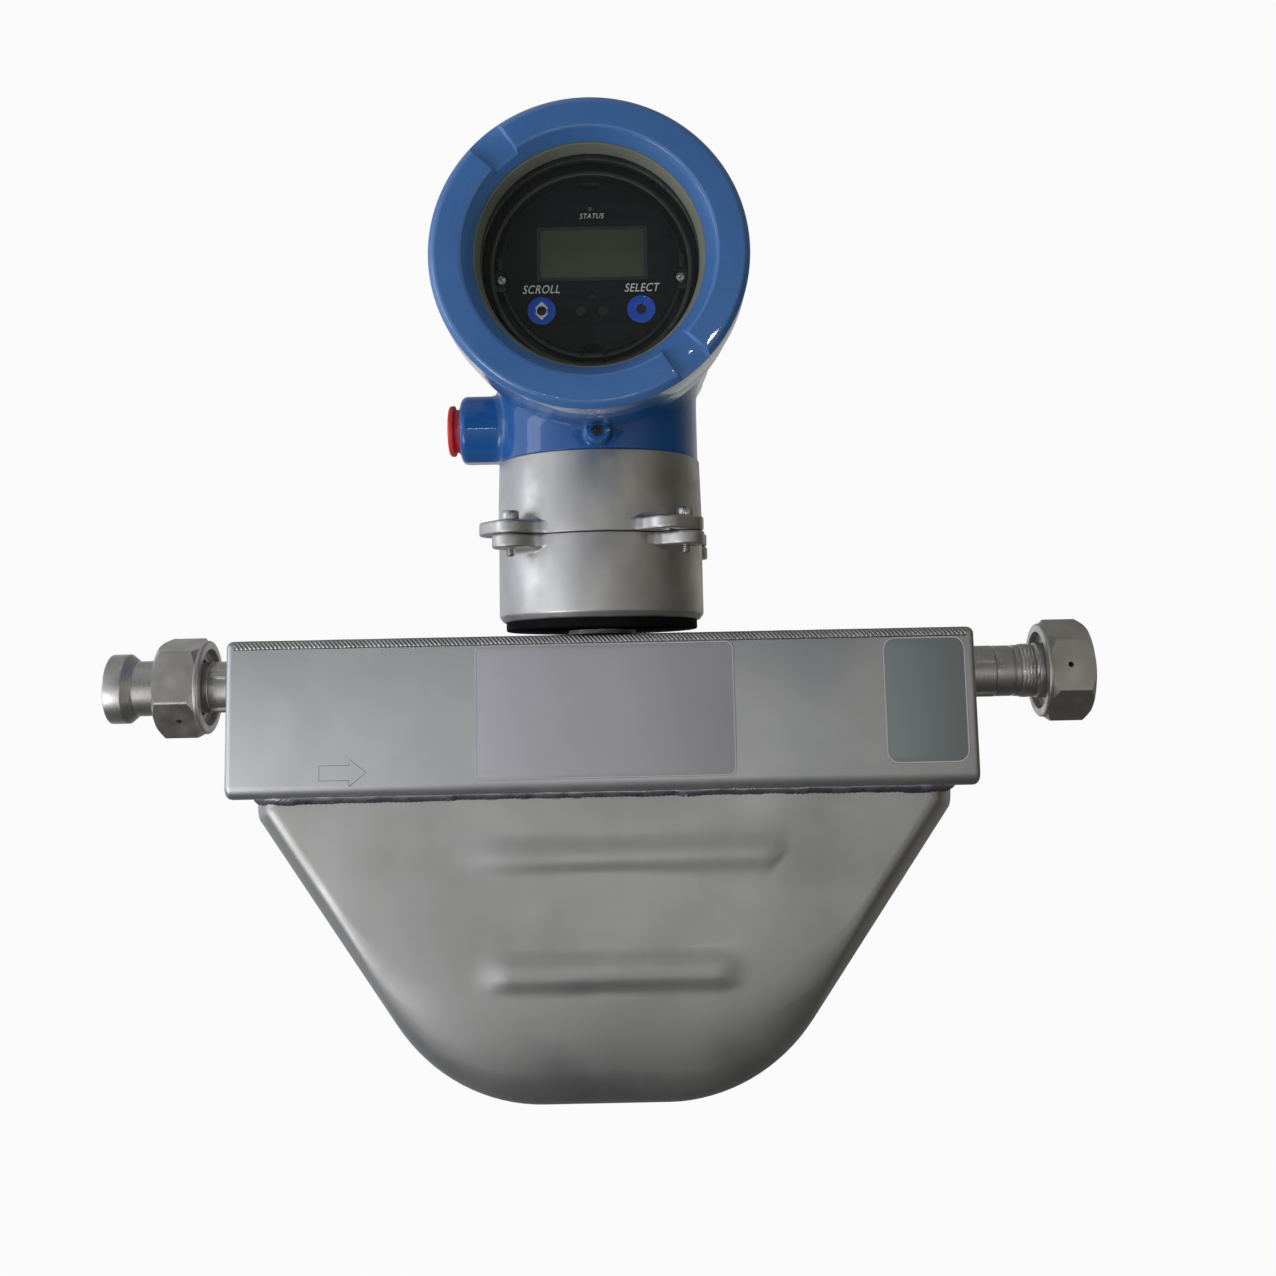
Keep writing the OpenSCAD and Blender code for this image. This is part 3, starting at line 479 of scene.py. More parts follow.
def surface_nets(f, lo, hi, h):
    """Smooth closed surface of f = 0 (inside negative), moved exactly onto it."""
    ax = [np.arange(lo[i], hi[i] + h * 0.5, h) for i in range(3)]
    X, Y, Z = np.meshgrid(*ax, indexing="ij")
    V = f(X, Y, Z)
    V[0] = V[-1] = 1.0
    V[:, 0] = V[:, -1] = 1.0
    V[:, :, 0] = V[:, :, -1] = 1.0
    ins = V < 0
    nx, ny, nz = V.shape
    cells = np.zeros((nx - 1, ny - 1, nz - 1), int)
    offs = [(a, b, c) for a in (0, 1) for b in (0, 1) for c in (0, 1)]
    for a, b, c in offs:
        cells += ins[a:nx - 1 + a, b:ny - 1 + b, c:nz - 1 + c]
    mixed = (cells > 0) & (cells < 8)
    idx = -np.ones(mixed.shape, int)
    cx, cy, cz = np.nonzero(mixed)
    idx[mixed] = np.arange(len(cx))
    base = np.stack([cx, cy, cz], 1)
    acc = np.zeros((len(cx), 3))
    cnt = np.zeros(len(cx))
    for a, b, c in offs:
        for d in range(3):
            if (a, b, c)[d]:
                continue
            e = [a, b, c]
            e[d] = 1
            v0 = V[cx + a, cy + b, cz + c]
            v1 = V[cx + e[0], cy + e[1], cz + e[2]]
            cross = (v0 < 0) != (v1 < 0)
            t = np.where(cross, v0 / np.where(v0 == v1, 1, v0 - v1), 0)
            p = np.tile(np.array([a, b, c], float), (len(cx), 1))
            p[:, d] += t
            acc[cross] += p[cross]
            cnt[cross] += 1
    P = np.array(lo) + (base + acc / cnt[:, None]) * h
    for _ in range(3):
        v = f(P[:, 0], P[:, 1], P[:, 2])
        g = np.zeros_like(P)
        for d in range(3):
            q = P.copy()
            q[:, d] += 0.01
            g[:, d] = (f(q[:, 0], q[:, 1], q[:, 2]) - v) / 0.01
        gl = np.maximum((g * g).sum(1), 0.2)
        P -= np.clip(v / gl, -0.5 * h, 0.5 * h)[:, None] * g
    faces = []
    for d in range(3):
        s0 = [slice(1, -1)] * 3
        s0[d] = slice(0, -1)
        s1 = list(s0)
        s1[d] = slice(1, None)
        A, B = ins[tuple(s0)], ins[tuple(s1)]
        ii = np.argwhere(A != B)
        o = np.array([1, 1, 1])
        o[d] = 0
        g = ii + o
        u, w = [(1, 2), (2, 0), (0, 1)][d]
        quad = []
        for du, dw in ((0, 0), (-1, 0), (-1, -1), (0, -1)):
            c = g.copy()
            c[:, u] += du
            c[:, w] += dw
            quad.append(idx[c[:, 0], c[:, 1], c[:, 2]])
        quad = np.stack(quad, 1)
        flip = A[tuple(ii.T)]
        quad[~flip] = quad[~flip][:, ::-1]
        faces += [tuple(map(int, q)) for q in quad if (q >= 0).all()]
    return raw("nets", P, faces)


def smin(a, b, k):
    h = np.clip(0.5 + 0.5 * (b - a) / k, 0, 1)
    return b * (1 - h) + a * h - k * h * (1 - h)


def rods(*items):
    return join(*[lathe([(0, a), (r, a, f), (r, b, f), (0, b)], ax, 48, 3, at=at) for r, a, b, f, ax, at in items])


# ------------------------------------------------------------------ sensor case
W2, D2, TOP, BOT = 152.0, 38.0, 17.8, -45.7


def case_box():
    prof = rounded([(D2, TOP, 2.6), (-D2, TOP, 2.6), (-D2, BOT, 5.6), (D2, BOT, 5.6)], 7)
    # plate XY -> YZ, plate z -> X
    me = plate([prof], -W2, W2, 2.8, 4)
    me.transform(Matrix(((0, 0, 1, 0), (1, 0, 0, 0), (0, 1, 0, 0), (0, 0, 0, 1))))
    hole = plate([circle(9.5)], TOP - 6, TOP + 4)
    me = boolean(me, [hole])
    emit("sensor_case_box", me, BOXSTEEL, "sensor", "case_box", sharp=28)


def ripple_bead(name, path, width, height, pitch, skew, rough, seed=0, n=9):
    """Rippled weld bead along points; each point carries the bead's outward direction."""
    P = np.array([p[0] for p in path], float)
    U = np.array([p[1] for p in path], float)
    T = np.gradient(P, axis=0)
    T /= np.linalg.norm(T, axis=1)[:, None]
    S = np.cross(T, U)
    d = np.concatenate([[0], np.cumsum(np.linalg.norm(np.diff(P, axis=0), axis=1))])
    verts, faces = [], []
    for i in range(len(P)):
        wv = width * (1 + rough * 0.5 * (smooth_noise(d[i] / 7.0, seed) - 0.5))
        for q in range(n):
            t = -1 + 2 * q / (n - 1)
            ph = (d[i] + skew * t * wv / 2) / pitch
            hgt = height * math.sqrt(max(0.0, 1 - t * t))
            hgt *= 1 + 0.45 * (0.5 + 0.5 * math.sin(2 * math.pi * ph)) - 0.2
            hgt *= 1 + rough * (smooth_noise(d[i] / 4.3, seed + 3) - 0.5)
            off = -0.35 * height if abs(t) == 1 else 0
            verts.append(P[i] + S[i] * t * wv / 2 + U[i] * (hgt + off))
    for i in range(len(P) - 1):
        for q in range(n - 1):
            faces.append((i * n + q, (i + 1) * n + q, (i + 1) * n + q + 1, i * n + q + 1))
        faces.append((i * n, i * n + n - 1, (i + 1) * n + n - 1, (i + 1) * n))
    faces.append(tuple(range(n)))
    k = (len(P) - 1) * n
    faces.append(tuple(range(k + n - 1, k - 1, -1)))
    return raw(name, verts, faces)


def box_welds():
    parts = []
    u = np.array([0, -0.86, 0.5])
    for s in (-1, 1):
        path = [((x, s * (D2 - 0.75), TOP - 1.9), (0, s * 0.93, 0.37)) for x in np.arange(-W2 + 3.5, W2 - 3.4, 0.3)]
        parts.append(ripple_bead("hatch", path, 4.2, 0.86, 1.75, 0.9 * s, 0.12, 5 + s, 15))
    emit("top_seam_ripple", join(*parts), HATCH, "sensor", sharp=60)


# lower case: nested outlines at each depth
SL = 34.6
LOWB = -172.6


def outline(d, zb, n1=16, top=-43.0):
    px, pz = 144.0 - 0.8232 * d, -57.0 + 0.5678 * d
    rb = 72.0
    zb = min(zb, pz - 2)
    xc = px - 0.6897 * (pz - zb)
    t = rb * math.tan(rad((90 - SL) / 2))
    tmax = min(max(xc - 0.5, 0.05), 0.95 * (pz - zb) / math.cos(rad(SL)))
    if t > tmax:
        t = tmax
        rb = t / math.tan(rad((90 - SL) / 2))
    half = [(0.0, zb)]
    for i in range(1, 22):
        half.append(((xc - t) * i / 22, zb))
    for i in range(n1 + 1):
        a = rad(-90 + (90 - SL) * i / n1)
        half.append((xc - t + rb * math.cos(a), zb + rb + rb * math.sin(a)))
    x0, z0 = half[-1]
    for i in range(1, 41):
        half.append((x0 + (px - x0) * i / 40, z0 + (pz - z0) * i / 40))
    # soft shoulder up to the rim
    xr = 145.7 - d
    for i in range(1, 6):
        q = i / 5
        half.append((px + (xr - px) * math.sin(q * math.pi / 2), pz + (min(-50 + 0.2 * d, top - 1) - pz) * (1 - math.cos(q * math.pi / 2)) * 0.7 + (min(-50 + 0.2 * d, top - 1) - pz) * q * 0.3))
    zt = half[-1][1]
    for i in range(1, 4):
        half.append((xr, zt + (top - zt) * i / 3))
    left = [(-x, z) for x, z in half[1:]][::-1]
    # the outlet side leans in a little more
    half = [(x - 0.02 * max(0.0, -57.0 - z) * min(1.0, x / 40.0), z) for x, z in half]
    return np.array(left + half, float)


def sstep(x):
    x = np.clip(x, 0, 1)
    return x * x * (3 - 2 * x)


def rib_bump(x, z):
    """How far the two pressed ribs stand out of the face, in mm."""
    up = 2.2 * sstep((x + 64) / 34) * sstep((71.8 - x) / 3.6) * sstep((-60.5 - z) / 11.0) * sstep((z + 78.2) / 6.6)
    lo = 2.9 * sstep((x + 53) / 15) * sstep((53.5 - x) / 7.0) * sstep((-104.5 - z) / 11.5) * sstep((z + 125.0) / 7.6)
    return up + lo


def lower_case():
    # (y, d, zb) from the back centre line to the front centre line
    key = [(0.0, 0.0, LOWB), (5, 0.15, LOWB + 0.2), (10, 0.8, LOWB + 1.2), (14, 1.7, LOWB + 2.8), (18, 2.9, LOWB + 5.8), (22, 4.35, LOWB + 10.8),
           (25, 5.7, LOWB + 16.0), (27.8, 7.25, LOWB + 23.5), (29.8, 8.6, LOWB + 31), (31.1, 9.8, LOWB + 39), (31.9, 11.2, LOWB + 46.5), (32.3, 13.0, LOWB + 53)]
    ys = np.array([k[0] for k in key])
    tt = np.concatenate([[0], np.cumsum(np.hypot(np.diff(ys), np.diff([k[2] for k in key])))])
    m = 46
    ts = np.linspace(0, tt[-1], m)
    Y, Dd, ZB = (np.interp(ts, tt, [k[i] for k in key]) for i in range(3))
    for arr in (Dd, ZB, Y):              # soften the kinks of the table
        for _ in range(3):
            arr[1:-1] = 0.25 * arr[:-2] + 0.5 * arr[1:-1] + 0.25 * arr[2:]
    rings = []
    for y, d, zb in zip(Y, Dd, ZB):
        rings.append((y, outline(d, zb)))
    # flat face, ring by ring towards the middle
    d0, z0, y0 = Dd[-1], ZB[-1], Y[-1]
    q = 84
    flat = []
    for i in range(1, q + 1):
        f = i / q
        flat.append((y0 + 1.15 * (1 - math.exp(-0.858 * i / 18.5)), outline(d0 + (118.0 - d0) * f, z0 + (-47.5 - z0) * f)))
    front = [(-y, o) for y, o in rings] + [(-y, o) for y, o in flat]
    back = [(y, o) for y, o in rings[1:]] + [(y, o) for y, o in flat]
    seq = back[::-1] + front
    n = len(seq[0][1])
    verts, faces = [], []
    for y, o in seq:
        for x, z in o:
            b = rib_bump(np.array(x), np.array(z)) if abs(y) > 30 else 0.0
            # a pressed sheet is never quite flat
            wv = 0.10 * math.sin(x * 0.09 + 1.3) * math.sin(z * 0.11) if abs(y) > 30 else 0.0
            yy = y + math.copysign(float(b) * 0.72 + wv, y) if abs(y) > 1 else y
            verts.append((x, max(-36.4, min(36.4, yy)), z))
    for i in range(len(seq) - 1):
        for j in range(n - 1):
            faces.append((i * n + j, i * n + j + 1, (i + 1) * n + j + 1, (i + 1) * n + j))
    last = (len(seq) - 1) * n
    faces.append(tuple(range(last, last + n)))
    faces.append(tuple(range(n - 1, -1, -1)))
    me = raw("lower", verts, faces)
    clean(me)
    bm = bmesh.new()
    bm.from_mesh(me)
    edges = [e for e in bm.edges if len(e.link_faces) == 1]
    if edges:
        bmesh.ops.holes_fill(bm, edges=edges, sides=0)
    bmesh.ops.recalc_face_normals(bm, faces=bm.faces)
    bm.to_mesh(me)
    bm.free()
    emit("lower_case_shell", me, CASESTEEL, "sensor", "lower_case", sharp=50)
    # weld all round under the box
    path = []
    q1 = [(145.7 - k[1] + 0.35, k[0]) for k in key] + [(131.2, 32.9)]
    q1 = [(x, y) for x, y in q1 if y > 0.01]
    quarter = [(x, y) for x, y in q1]
    loop = quarter + [(-x, y) for x, y in quarter[::-1]] + [(-x, -y) for x, y in quarter] + [(x, -y) for x, y in quarter[::-1]]
    P = np.array(loop + [loop[0]])
    d = np.concatenate([[0], np.cumsum(np.hypot(*np.diff(P, axis=0).T))])
    s = np.arange(0, d[-1], 0.55)
    X, Yy = np.interp(s, d, P[:, 0]), np.interp(s, d, P[:, 1])
    pts = np.stack([X, Yy], 1)
    tg = np.roll(pts, -1, 0) - np.roll(pts, 1, 0)
    tg /= np.linalg.norm(tg, axis=1)[:, None]
    for i, (a, b) in enumerate(pts):
        nx, ny = tg[i][1], -tg[i][0]
        path.append(((a, b, -46.4 + 0.35 * (smooth_noise(s[i] / 9, 8) - 0.5)), (nx * 0.75, ny * 0.75, -0.66)))
    path.append(path[0])
    emit("case_weld_bead", ripple_bead("bead", path, 5.2, 1.25, 2.1, 1.6, 0.35, 2, 13), WELD, "sensor", sharp=70)


case_box()
box_welds()
lower_case()


# labels and the stamped flow arrow
def labels():
    F = FRONT(-D2 + 0.02)
    me = moved(plate([rrect(105, 54, 3.2, 1.6, -12.8)], 0.0, 0.34, 0.12, 1), F)
    emit("front_label_plate", me, LABEL, "sensor", "front_label", sharp=50)
    rim = moved(plate([rrect(104.4, 53.4, 3.0, 1.6, -12.8), rrect(103.7, 52.7, 2.7, 1.6, -12.8)], 0.30, 0.42), F)
    emit("front_label_border", rim, LABEL2B, "sensor", sharp=50)
    me = moved(plate([rrect(33.6, 50.6, 5.0, 131, -11.2)], 0.0, 0.32, 0.12, 1), F)
    emit("side_label_plate", me, LABEL2, "sensor", "side_label", sharp=50)
    rim = moved(plate([rrect(33.3, 50.3, 4.9, 131, -11.2), rrect(32.2, 49.2, 4.4, 131, -11.2)], 0.28, 0.38), F)
    emit("side_label_border", rim, LABEL2B, "sensor", sharp=50)
    # engraved outline of an arrow
    o = [(-113.5, -38.6), (-101.5, -38.6), (-101.5, -41.0), (-94.5, -35.6), (-101.5, -30.2), (-101.5, -32.6), (-113.5, -32.6)]
    path = [(x, -D2 + 0.01, z) for x, z in o] + [(o[0][0], -D2 + 0.01, o[0][1])]
    segs = [tube([path[i], tuple((np.array(path[i]) + np.array(path[i + 1])) / 2), path[i + 1]], 0.13, 6) for i in range(len(path) - 1)]
    emit("stamped_flow_arrow", join(*segs), STAMP, "sensor", sharp=60)


labels()


# ------------------------------------------------------------------ process connections
def gland(name, node, sx, tilt):
    def prof():
        g = 210.4 if sx < 0 else 208.0
        p = [(6.35, 149.5), (10.9, 149.5), (10.9, 166.6), (10.3, 167.0), (10.8, 167.4, 0.3), (10.8, 174.4, 0.3), (10.2, 174.8), (10.2, 175.2),
             (10.9, 175.5, 0.3), (10.9, 177.3, 0.3), (10.75, 177.7)]
        x = 177.7
        while x < 184.8:
            q = (x - 177.7) / 7.1
            p.append((10.95 + 0.42 * math.sin(math.pi * q) + 0.09 * math.sin(x * 4.4), x))
            x += 0.33
        p += [(11.2, 184.9), (11.75, 185.3, 0.4), (11.75, g - 11.2, 1.2), (14.8, g - 7.5, 0.8), (14.8, g, 0.5), (11.6, g, 0.1), (11.4, g - 0.5, 0.1),
              (9.6, g - 0.5, 0.1), (9.4, g, 0.1), (7.0, g, 0.2), (6.35, g - 0.6, 0.2)]
        return p
    def wob(r, h, a):
        if 177.8 < h < 184.7 and r > 9:
            r += 0.12 * math.sin(a * 7 + h * 1.7) * math.sin(h * 2.3 + a * 3)
        return r, h
    me = lathe(prof(), "x", 144, 4, wobble=wob)
    # wrench section: round bar with four flats
    bar = lathe([(6.35, 151.2), (11.7, 151.2), (11.7, 166.2, 0.8), (10.9, 167.0, 0.2), (6.35, 167.0)], "x", 144, 4)
    sq = plate([rrect(17.8, 17.8, 0.6)], 151.0, 168.0)
    sq.transform(Matrix(((0, 0, 1, 0), (1, 0, 0, 0), (0, 1, 0, 0), (0, 0, 0, 1))))
    sq.transform(Matrix.Rotation(rad(tilt), 4, "X"))
    bar = boolean(bar, [sq], "INTERSECT")
    bar = bevel(bar, 0.35, 30, 2)
    if sx < 0:
        R = Matrix.Rotation(math.pi, 4, "Z")
        me.transform(R)
        bar.transform(R)
    emit(name + "_turned", me, MACHINED, "sensor", node, sharp=38)
    emit(name + "_flats", bar, MACHINED, "sensor", sharp=30)


gland("outlet_gland", "outlet_gland", 1, 18)
gland("inlet_gland", "inlet_gland", -1, -18)


def hexnut(name, node, body, back, sx, tilt, hole_flats):
    """tilt: how far the front flat's normal is turned upwards, degrees."""
    af, ln = 38.1, 19.8
    R = af / 2 / math.cos(rad(30))
    # front is +x of the plate frame; a corner at 30 degrees puts a flat there
    hexo = rounded([(R * math.cos(rad(30 + 60 * i + tilt)), R * math.sin(rad(30 + 60 * i + tilt)), 1.7) for i in range(6)], 4)
    me = plate([hexo], 0.7, ln)
    shape = lathe([(0, 0.5), (18.6, 0.9), (R + 0.4, 4.6), (R + 0.4, ln - 3.0), (19.2, ln, 0.4), (0, ln)], "z", 144, 4)
    me = boolean(me, [shape], "INTERSECT")
    collar = lathe([(0, 0), (19.9, 0, 1.0), (19.9, 2.15, 0.3), (0, 2.15)], "z", 192, 6)
    me = boolean(me, [collar], "UNION")
    bore = [(0, -1), (16.8, -1), (16.2, 0.7, 0.4), (16.2, 3.4, 0.6), (12.15, 3.6, 0.5), (12.15, 6.4, 0.4), (16.0, 7.6, 0.4), (16.0, 8.0)]
    x = 8.2
    while x < ln - 2.6:
        bore += [(15.95, x), (15.1, x + 0.62), (15.1, x + 0.78), (15.95, x + 1.4)]
        x += 1.5
    bore += [(15.9, ln - 1.8), (17.2, ln - 0.3, 0.3), (17.2, ln + 1), (0, ln + 1)]
    me = boolean(me, [lathe(bore, "z", 144, 3)])
    for a in hole_flats:
        c = plate([circle(1.15, 28)], 12.0, 24.0)
        c.transform(Matrix.Rotation(rad(90), 4, "Y"))
        c.transform(Matrix.Translation((0, 0, 9.35)))
        c.transform(Matrix.Rotation(rad(a + tilt), 4, "Z"))
        me = boolean(me, [c])
    me.transform(Matrix(((0, 0, 1, 0), (-1, 0, 0, 0), (0, 1, 0, 0), (0, 0, 0, 1))))
    me.transform(Matrix.Translation((back, 0, 0)))
    if sx < 0:
        me.transform(Matrix.Scale(-1, 4, (1, 0, 0)))
    me = bevel(me, 0.22, 26, 2)
    emit(name, me, NUTSTEEL, body, node, sharp=30)


hexnut("outlet_nut_hex", "outlet_union_nut", "outlet_nut", 186.6, 1, 5.5, (0, 180))
hexnut("inlet_nut_hex", "inlet_union_nut", "inlet_nut", 168.6, -1, 12.4, (-60, 120))


# ------------------------------------------------------------------ neck, base, ring
SEAM, RT = 59.2, 93.3
FOOT = 20.8
AZ = (225, 315, 38, 135)


def pol(r, a):
    return (r * math.cos(rad(a)), r * math.sin(rad(a)))


def lug_cast(a0, a1, r, lo, hi, lower, cr=51.0):
    """One cast lug from azimuth a0 to a1, faired into the wall, with fillets at its root."""
    am, half = (a0 + a1) / 2, (a1 - a0) / 2
    zc, hz = (lo + hi) / 2, (hi - lo) / 2

    def f(x, y, z):
        rho = np.hypot(x, y)
        da = (np.degrees(np.arctan2(y, x)) - am + 180) % 360 - 180
        an = np.radians(am + np.clip(da, -half, half))
        q = np.hypot(x - cr * np.cos(an), y - cr * np.sin(an)) - r
        if lower:
            cyl = rho - 43.93
        else:
            cyl = rho - (44.38 - 0.75 * (z - SEAM) / (RT - SEAM))
        plan = smin(q, cyl, 10.0)
        a, b = plan + 0.9, np.abs(z - zc) - hz + 0.9
        d = np.minimum(np.maximum(a, b), 0) + np.hypot(np.maximum(a, 0), np.maximum(b, 0)) - 0.9
        k = 2.8 * sstep((cyl - plan) / 1.6) + 1e-4
        h = np.clip(0.5 + 0.5 * (cyl - d) / k, 0, 1)
        g = cyl * (1 - h) + d * h - k * h * (1 - h)
        g = np.maximum(g, (z - hi) if lower else (lo - z))
        g = np.maximum(g, 42.8 - rho)
        g = np.maximum(g, (np.abs(da) - half - 25) * 0.77)
        g = np.maximum(g, np.abs(z - zc) - hz - 4.5)
        p0 = pol(cr, a1)
        if lower:
            g = np.maximum(g, 2.05 - np.hypot(x - p0[0], y - p0[1]))
        else:
            ds = (np.degrees(np.arctan2(y, x)) - a1 + 180) % 360 - 180
            an = np.radians(a1 + np.clip(ds, -12, 0))
            g = np.maximum(g, 2.4 - np.hypot(x - cr * np.cos(an), y - cr * np.sin(an)))
            p1 = pol(cr, a1 - 12)
            g = np.maximum(g, 4.2 - np.hypot(x - p1[0], y - p1[1]))
        return g
    c = [pol(R, a) for R in (42.5, cr + r + 0.8) for a in np.linspace(a0 - 27, a1 + 27, 15)]
    xs, ys = [q[0] for q in c], [q[1] for q in c]
    h = 0.6
    return surface_nets(f, (min(xs) - 1, min(ys) - 1, lo - 6), (max(xs) + 1, max(ys) + 1, hi + 6), h)


def base():
    ob = 24.6
    me = lathe([(9.0, ob, 0.4), (42.2, ob, 1.6), (44.0, ob + 2.4, 1.8), (44.0, SEAM - 0.1, 0.5), (40.36, SEAM - 0.1, 0.3), (40.36, ob + 4.4, 0.6),
                (9.0, ob + 4.4, 0.4)], "z", 224, 5)
    lugs = [lug_cast(a, a, 7.6, SEAM - 5.7, SEAM - 0.1, True) for a in AZ]
    emit("base_housing_shell", me, BLAST, "sensor", "base_housing", sharp=40)
    emit("base_housing_lugs", join(*lugs), BLAST, "sensor", sharp=45)
    # the foot under the base is painted near-black as the shadow in the gap down to the box
    me = lathe([(9.0, FOOT, 0.4), (41.1, FOOT, 0.8), (41.1, ob + 0.2), (9.0, ob + 0.2)], "z", 192, 4)
    emit("base_housing_foot", me, FOOT_SHADOW, "sensor", sharp=40)
    me = lathe([(9.0, TOP - 0.4), (16.4, TOP - 0.4), (15.4, TOP + 0.5, 0.5), (14.4, TOP + 1.1, 0.5), (14.4, FOOT + 0.1), (9.0, FOOT + 0.1)], "z", 128, 4)
    emit("support_neck_tube", me, BLAST, "sensor", "support_neck", sharp=40)


def ring():
    me = lathe([(37, SEAM - 6.6, 0.3), (40.3, SEAM - 6.6, 0.5), (40.3, SEAM - 3.6, 0.1), (38.3, SEAM - 3.6, 0.2), (38.3, SEAM - 1.2, 0.2), (40.3, SEAM - 1.2, 0.1),
                (40.3, SEAM + 0.15), (44.45, SEAM + 0.15, 0.5), (43.7, RT - 0.02, 0.55), (30, RT - 0.02, 0.3), (30, RT - 4.3, 0.3), (40, RT - 4.3, 0.4),
                (40.6, SEAM + 9, 0.5), (37, SEAM + 8, 0.4)], "z", 224, 5)
    cut = [plate([circle(2.05, 24, *pol(34.5, 45 + 90 * i))], RT - 6, RT + 2) for i in range(4)]
    me = boolean(me, cut)
    lugs = [lug_cast(a if a == 38 else a - 11, a, 7.4, SEAM + 0.15, SEAM + 5.75, False) for a in AZ]
    emit("transition_ring_shell", me, BLAST, "head", "transition_ring", sharp=40)
    emit("transition_ring_lugs", join(*lugs), BLAST, "head", sharp=45)


def socket_screw(x, y, zt, zb, r=2.0, hr=3.6, hh=3.9, knurl=36):
    """Cap screw with a knurled head, a hexagon socket and a threaded shank."""
    def wob(rr, h, a):
        if rr > hr - 0.35 and zt - hh + 0.5 < h < zt - 0.5:
            rr -= 0.11 * (0.5 + 0.5 * math.cos(a * knurl))
        return rr, h
    head = lathe([(0, zt - hh), (hr - 0.2, zt - hh, 0.15), (hr, zt - hh + 0.4), (hr, zt - 0.6), (hr - 0.35, zt, 0.2), (0, zt)], "z", 144, 3, wobble=wob)
    hx = plate([circle(1.72, 6)], zt - 2.1, zt + 1)
    head = boolean(head, [hx])
    sh = [(0, zb), (r - 0.5, zb, 0.1), (r - 0.12, zb + 0.45)]
    z = zb + 0.5
    while z < zt - hh - 1.2:
        sh += [(r - 0.02, z + 0.18), (r - 0.33, z + 0.52)]
        z += 0.7
    sh += [(r - 0.02, zt - hh - 0.3), (r - 0.02, zt - hh + 0.2), (0, zt - hh + 0.2)]
    me = join(head, lathe(sh, "z", 40, 2))
    me.transform(Matrix.Translation((x, y, 0)))
    return me


base()
ring()
emit("cap_screw_set", join(*[socket_screw(*pol(51.0, a), SEAM + 9.85, SEAM - 8.95) for a in AZ]), SCREW, "sensor", "cap_screws",
     sharp=34)


# ------------------------------------------------------------------ transmitter enclosure
HR = 15.1
HUBS = ((-1.0, 109.3), (33.0, 115.3))


def enclosure():
    # thread collar, drum and rounded back, hollow
    drum = lathe([(52.6, -75.8, 0.25), (59.8, -75.8, 0.9), (59.8, -53.4, 1.6), (56.0, -51.6, 1.2), (53.6, -49.9, 2.2), (53.6, 52, 9.5), (0, 52), (0, 46), (49.6, 46, 7), (49.6, -58, 0.3),
                  (52.0, -58, 0.2)] + [q for i in range(11) for q in ((52.6, -58.6 - 1.5 * i), (51.9, -59.3 - 1.5 * i))] + [(52.6, -75.0)], "y", 224, 6, at=(0, 0, DZ))
    drum = boolean(drum, [plate([circle(37.9, 96)], 100, 131)])
    # drum, neck rim and neck casting take the darker enamel copy: painted shade
    emit("enclosure_drum", drum, BLUE_SHADED_BODY, "head", "enclosure", sharp=34)
    ring_ = lathe([(30, RT + 0.02, 0.2), (43.1, RT + 0.02, 0.55), (43.1, RT + 3.4), (38.2, RT + 3.4), (38.2, RT + 3.2), (30, RT + 3.2)], "z", 224, 5)
    emit("enclosure_neck_rim", ring_, BLUE_SHADED_BODY, "head", sharp=40)

    def f(x, y, z):
        r = np.hypot(x, y)
        neck = r - 43.085
        dr = np.hypot(x, z - DZ) - 53.55
        dd = np.maximum(np.abs(y + 1) - 50.5, dr)
        g = smin(neck, dd, 7.0)
        for hy, hz in HUBS:
            q = np.hypot(y - hy, z - hz)
            a, b = q - (HR - 3), -x - 57.0
            hub = np.minimum(np.maximum(a, b), 0) + np.hypot(np.maximum(a, 0), np.maximum(b, 0)) - 3.0
            hub = np.maximum(hub, x + 12)
            g = smin(g, hub, 3.4)
        q = np.hypot(x - 1.0, z - 99.8)
        a, b = q - 4.5, -y - 49.6
        boss = np.minimum(np.maximum(a, b), 0) + np.hypot(np.maximum(a, 0), np.maximum(b, 0)) - 0.8
        boss = np.maximum(boss, y + 20)
        g = smin(g, boss, 1.6)
        g = np.maximum(g, RT + 1.4 - z)
        g = np.maximum(g, z - 138.0)
        g = np.maximum(g, 38.0 - r)                         # hollow neck
        g = np.maximum(g, 49.65 - np.hypot(x, z - DZ))      # clear of the drum's cavity
        for hy, hz in HUBS:
            g = np.maximum(g, np.minimum(9.6 - np.hypot(y - hy, z - hz), 1e3) * 1.0 - np.maximum(x + 12, 0))
        g = np.maximum(g, np.where(y < -43.5, 2.3 - np.hypot(x - 1.0, z - 99.8), -9.0))
        return g
    h = 0.95
    me = surface_nets(f, (-63, -53, RT - 1), (56, 53, 140), h)
    emit("enclosure_neck_casting", me, BLUE_SHADED_BODY, "head", sharp=42)
    # rim of each conduit port
    rims = [lathe([(9.62, -60.35, 0.1), (10.7, -60.35, 0.25), (10.7, -58), (9.62, -58)], "x", 96, 3, at=(0, y, z)) for y, z in HUBS]
    emit("conduit_port_rims", join(*rims), BLUE, "head", sharp=40)


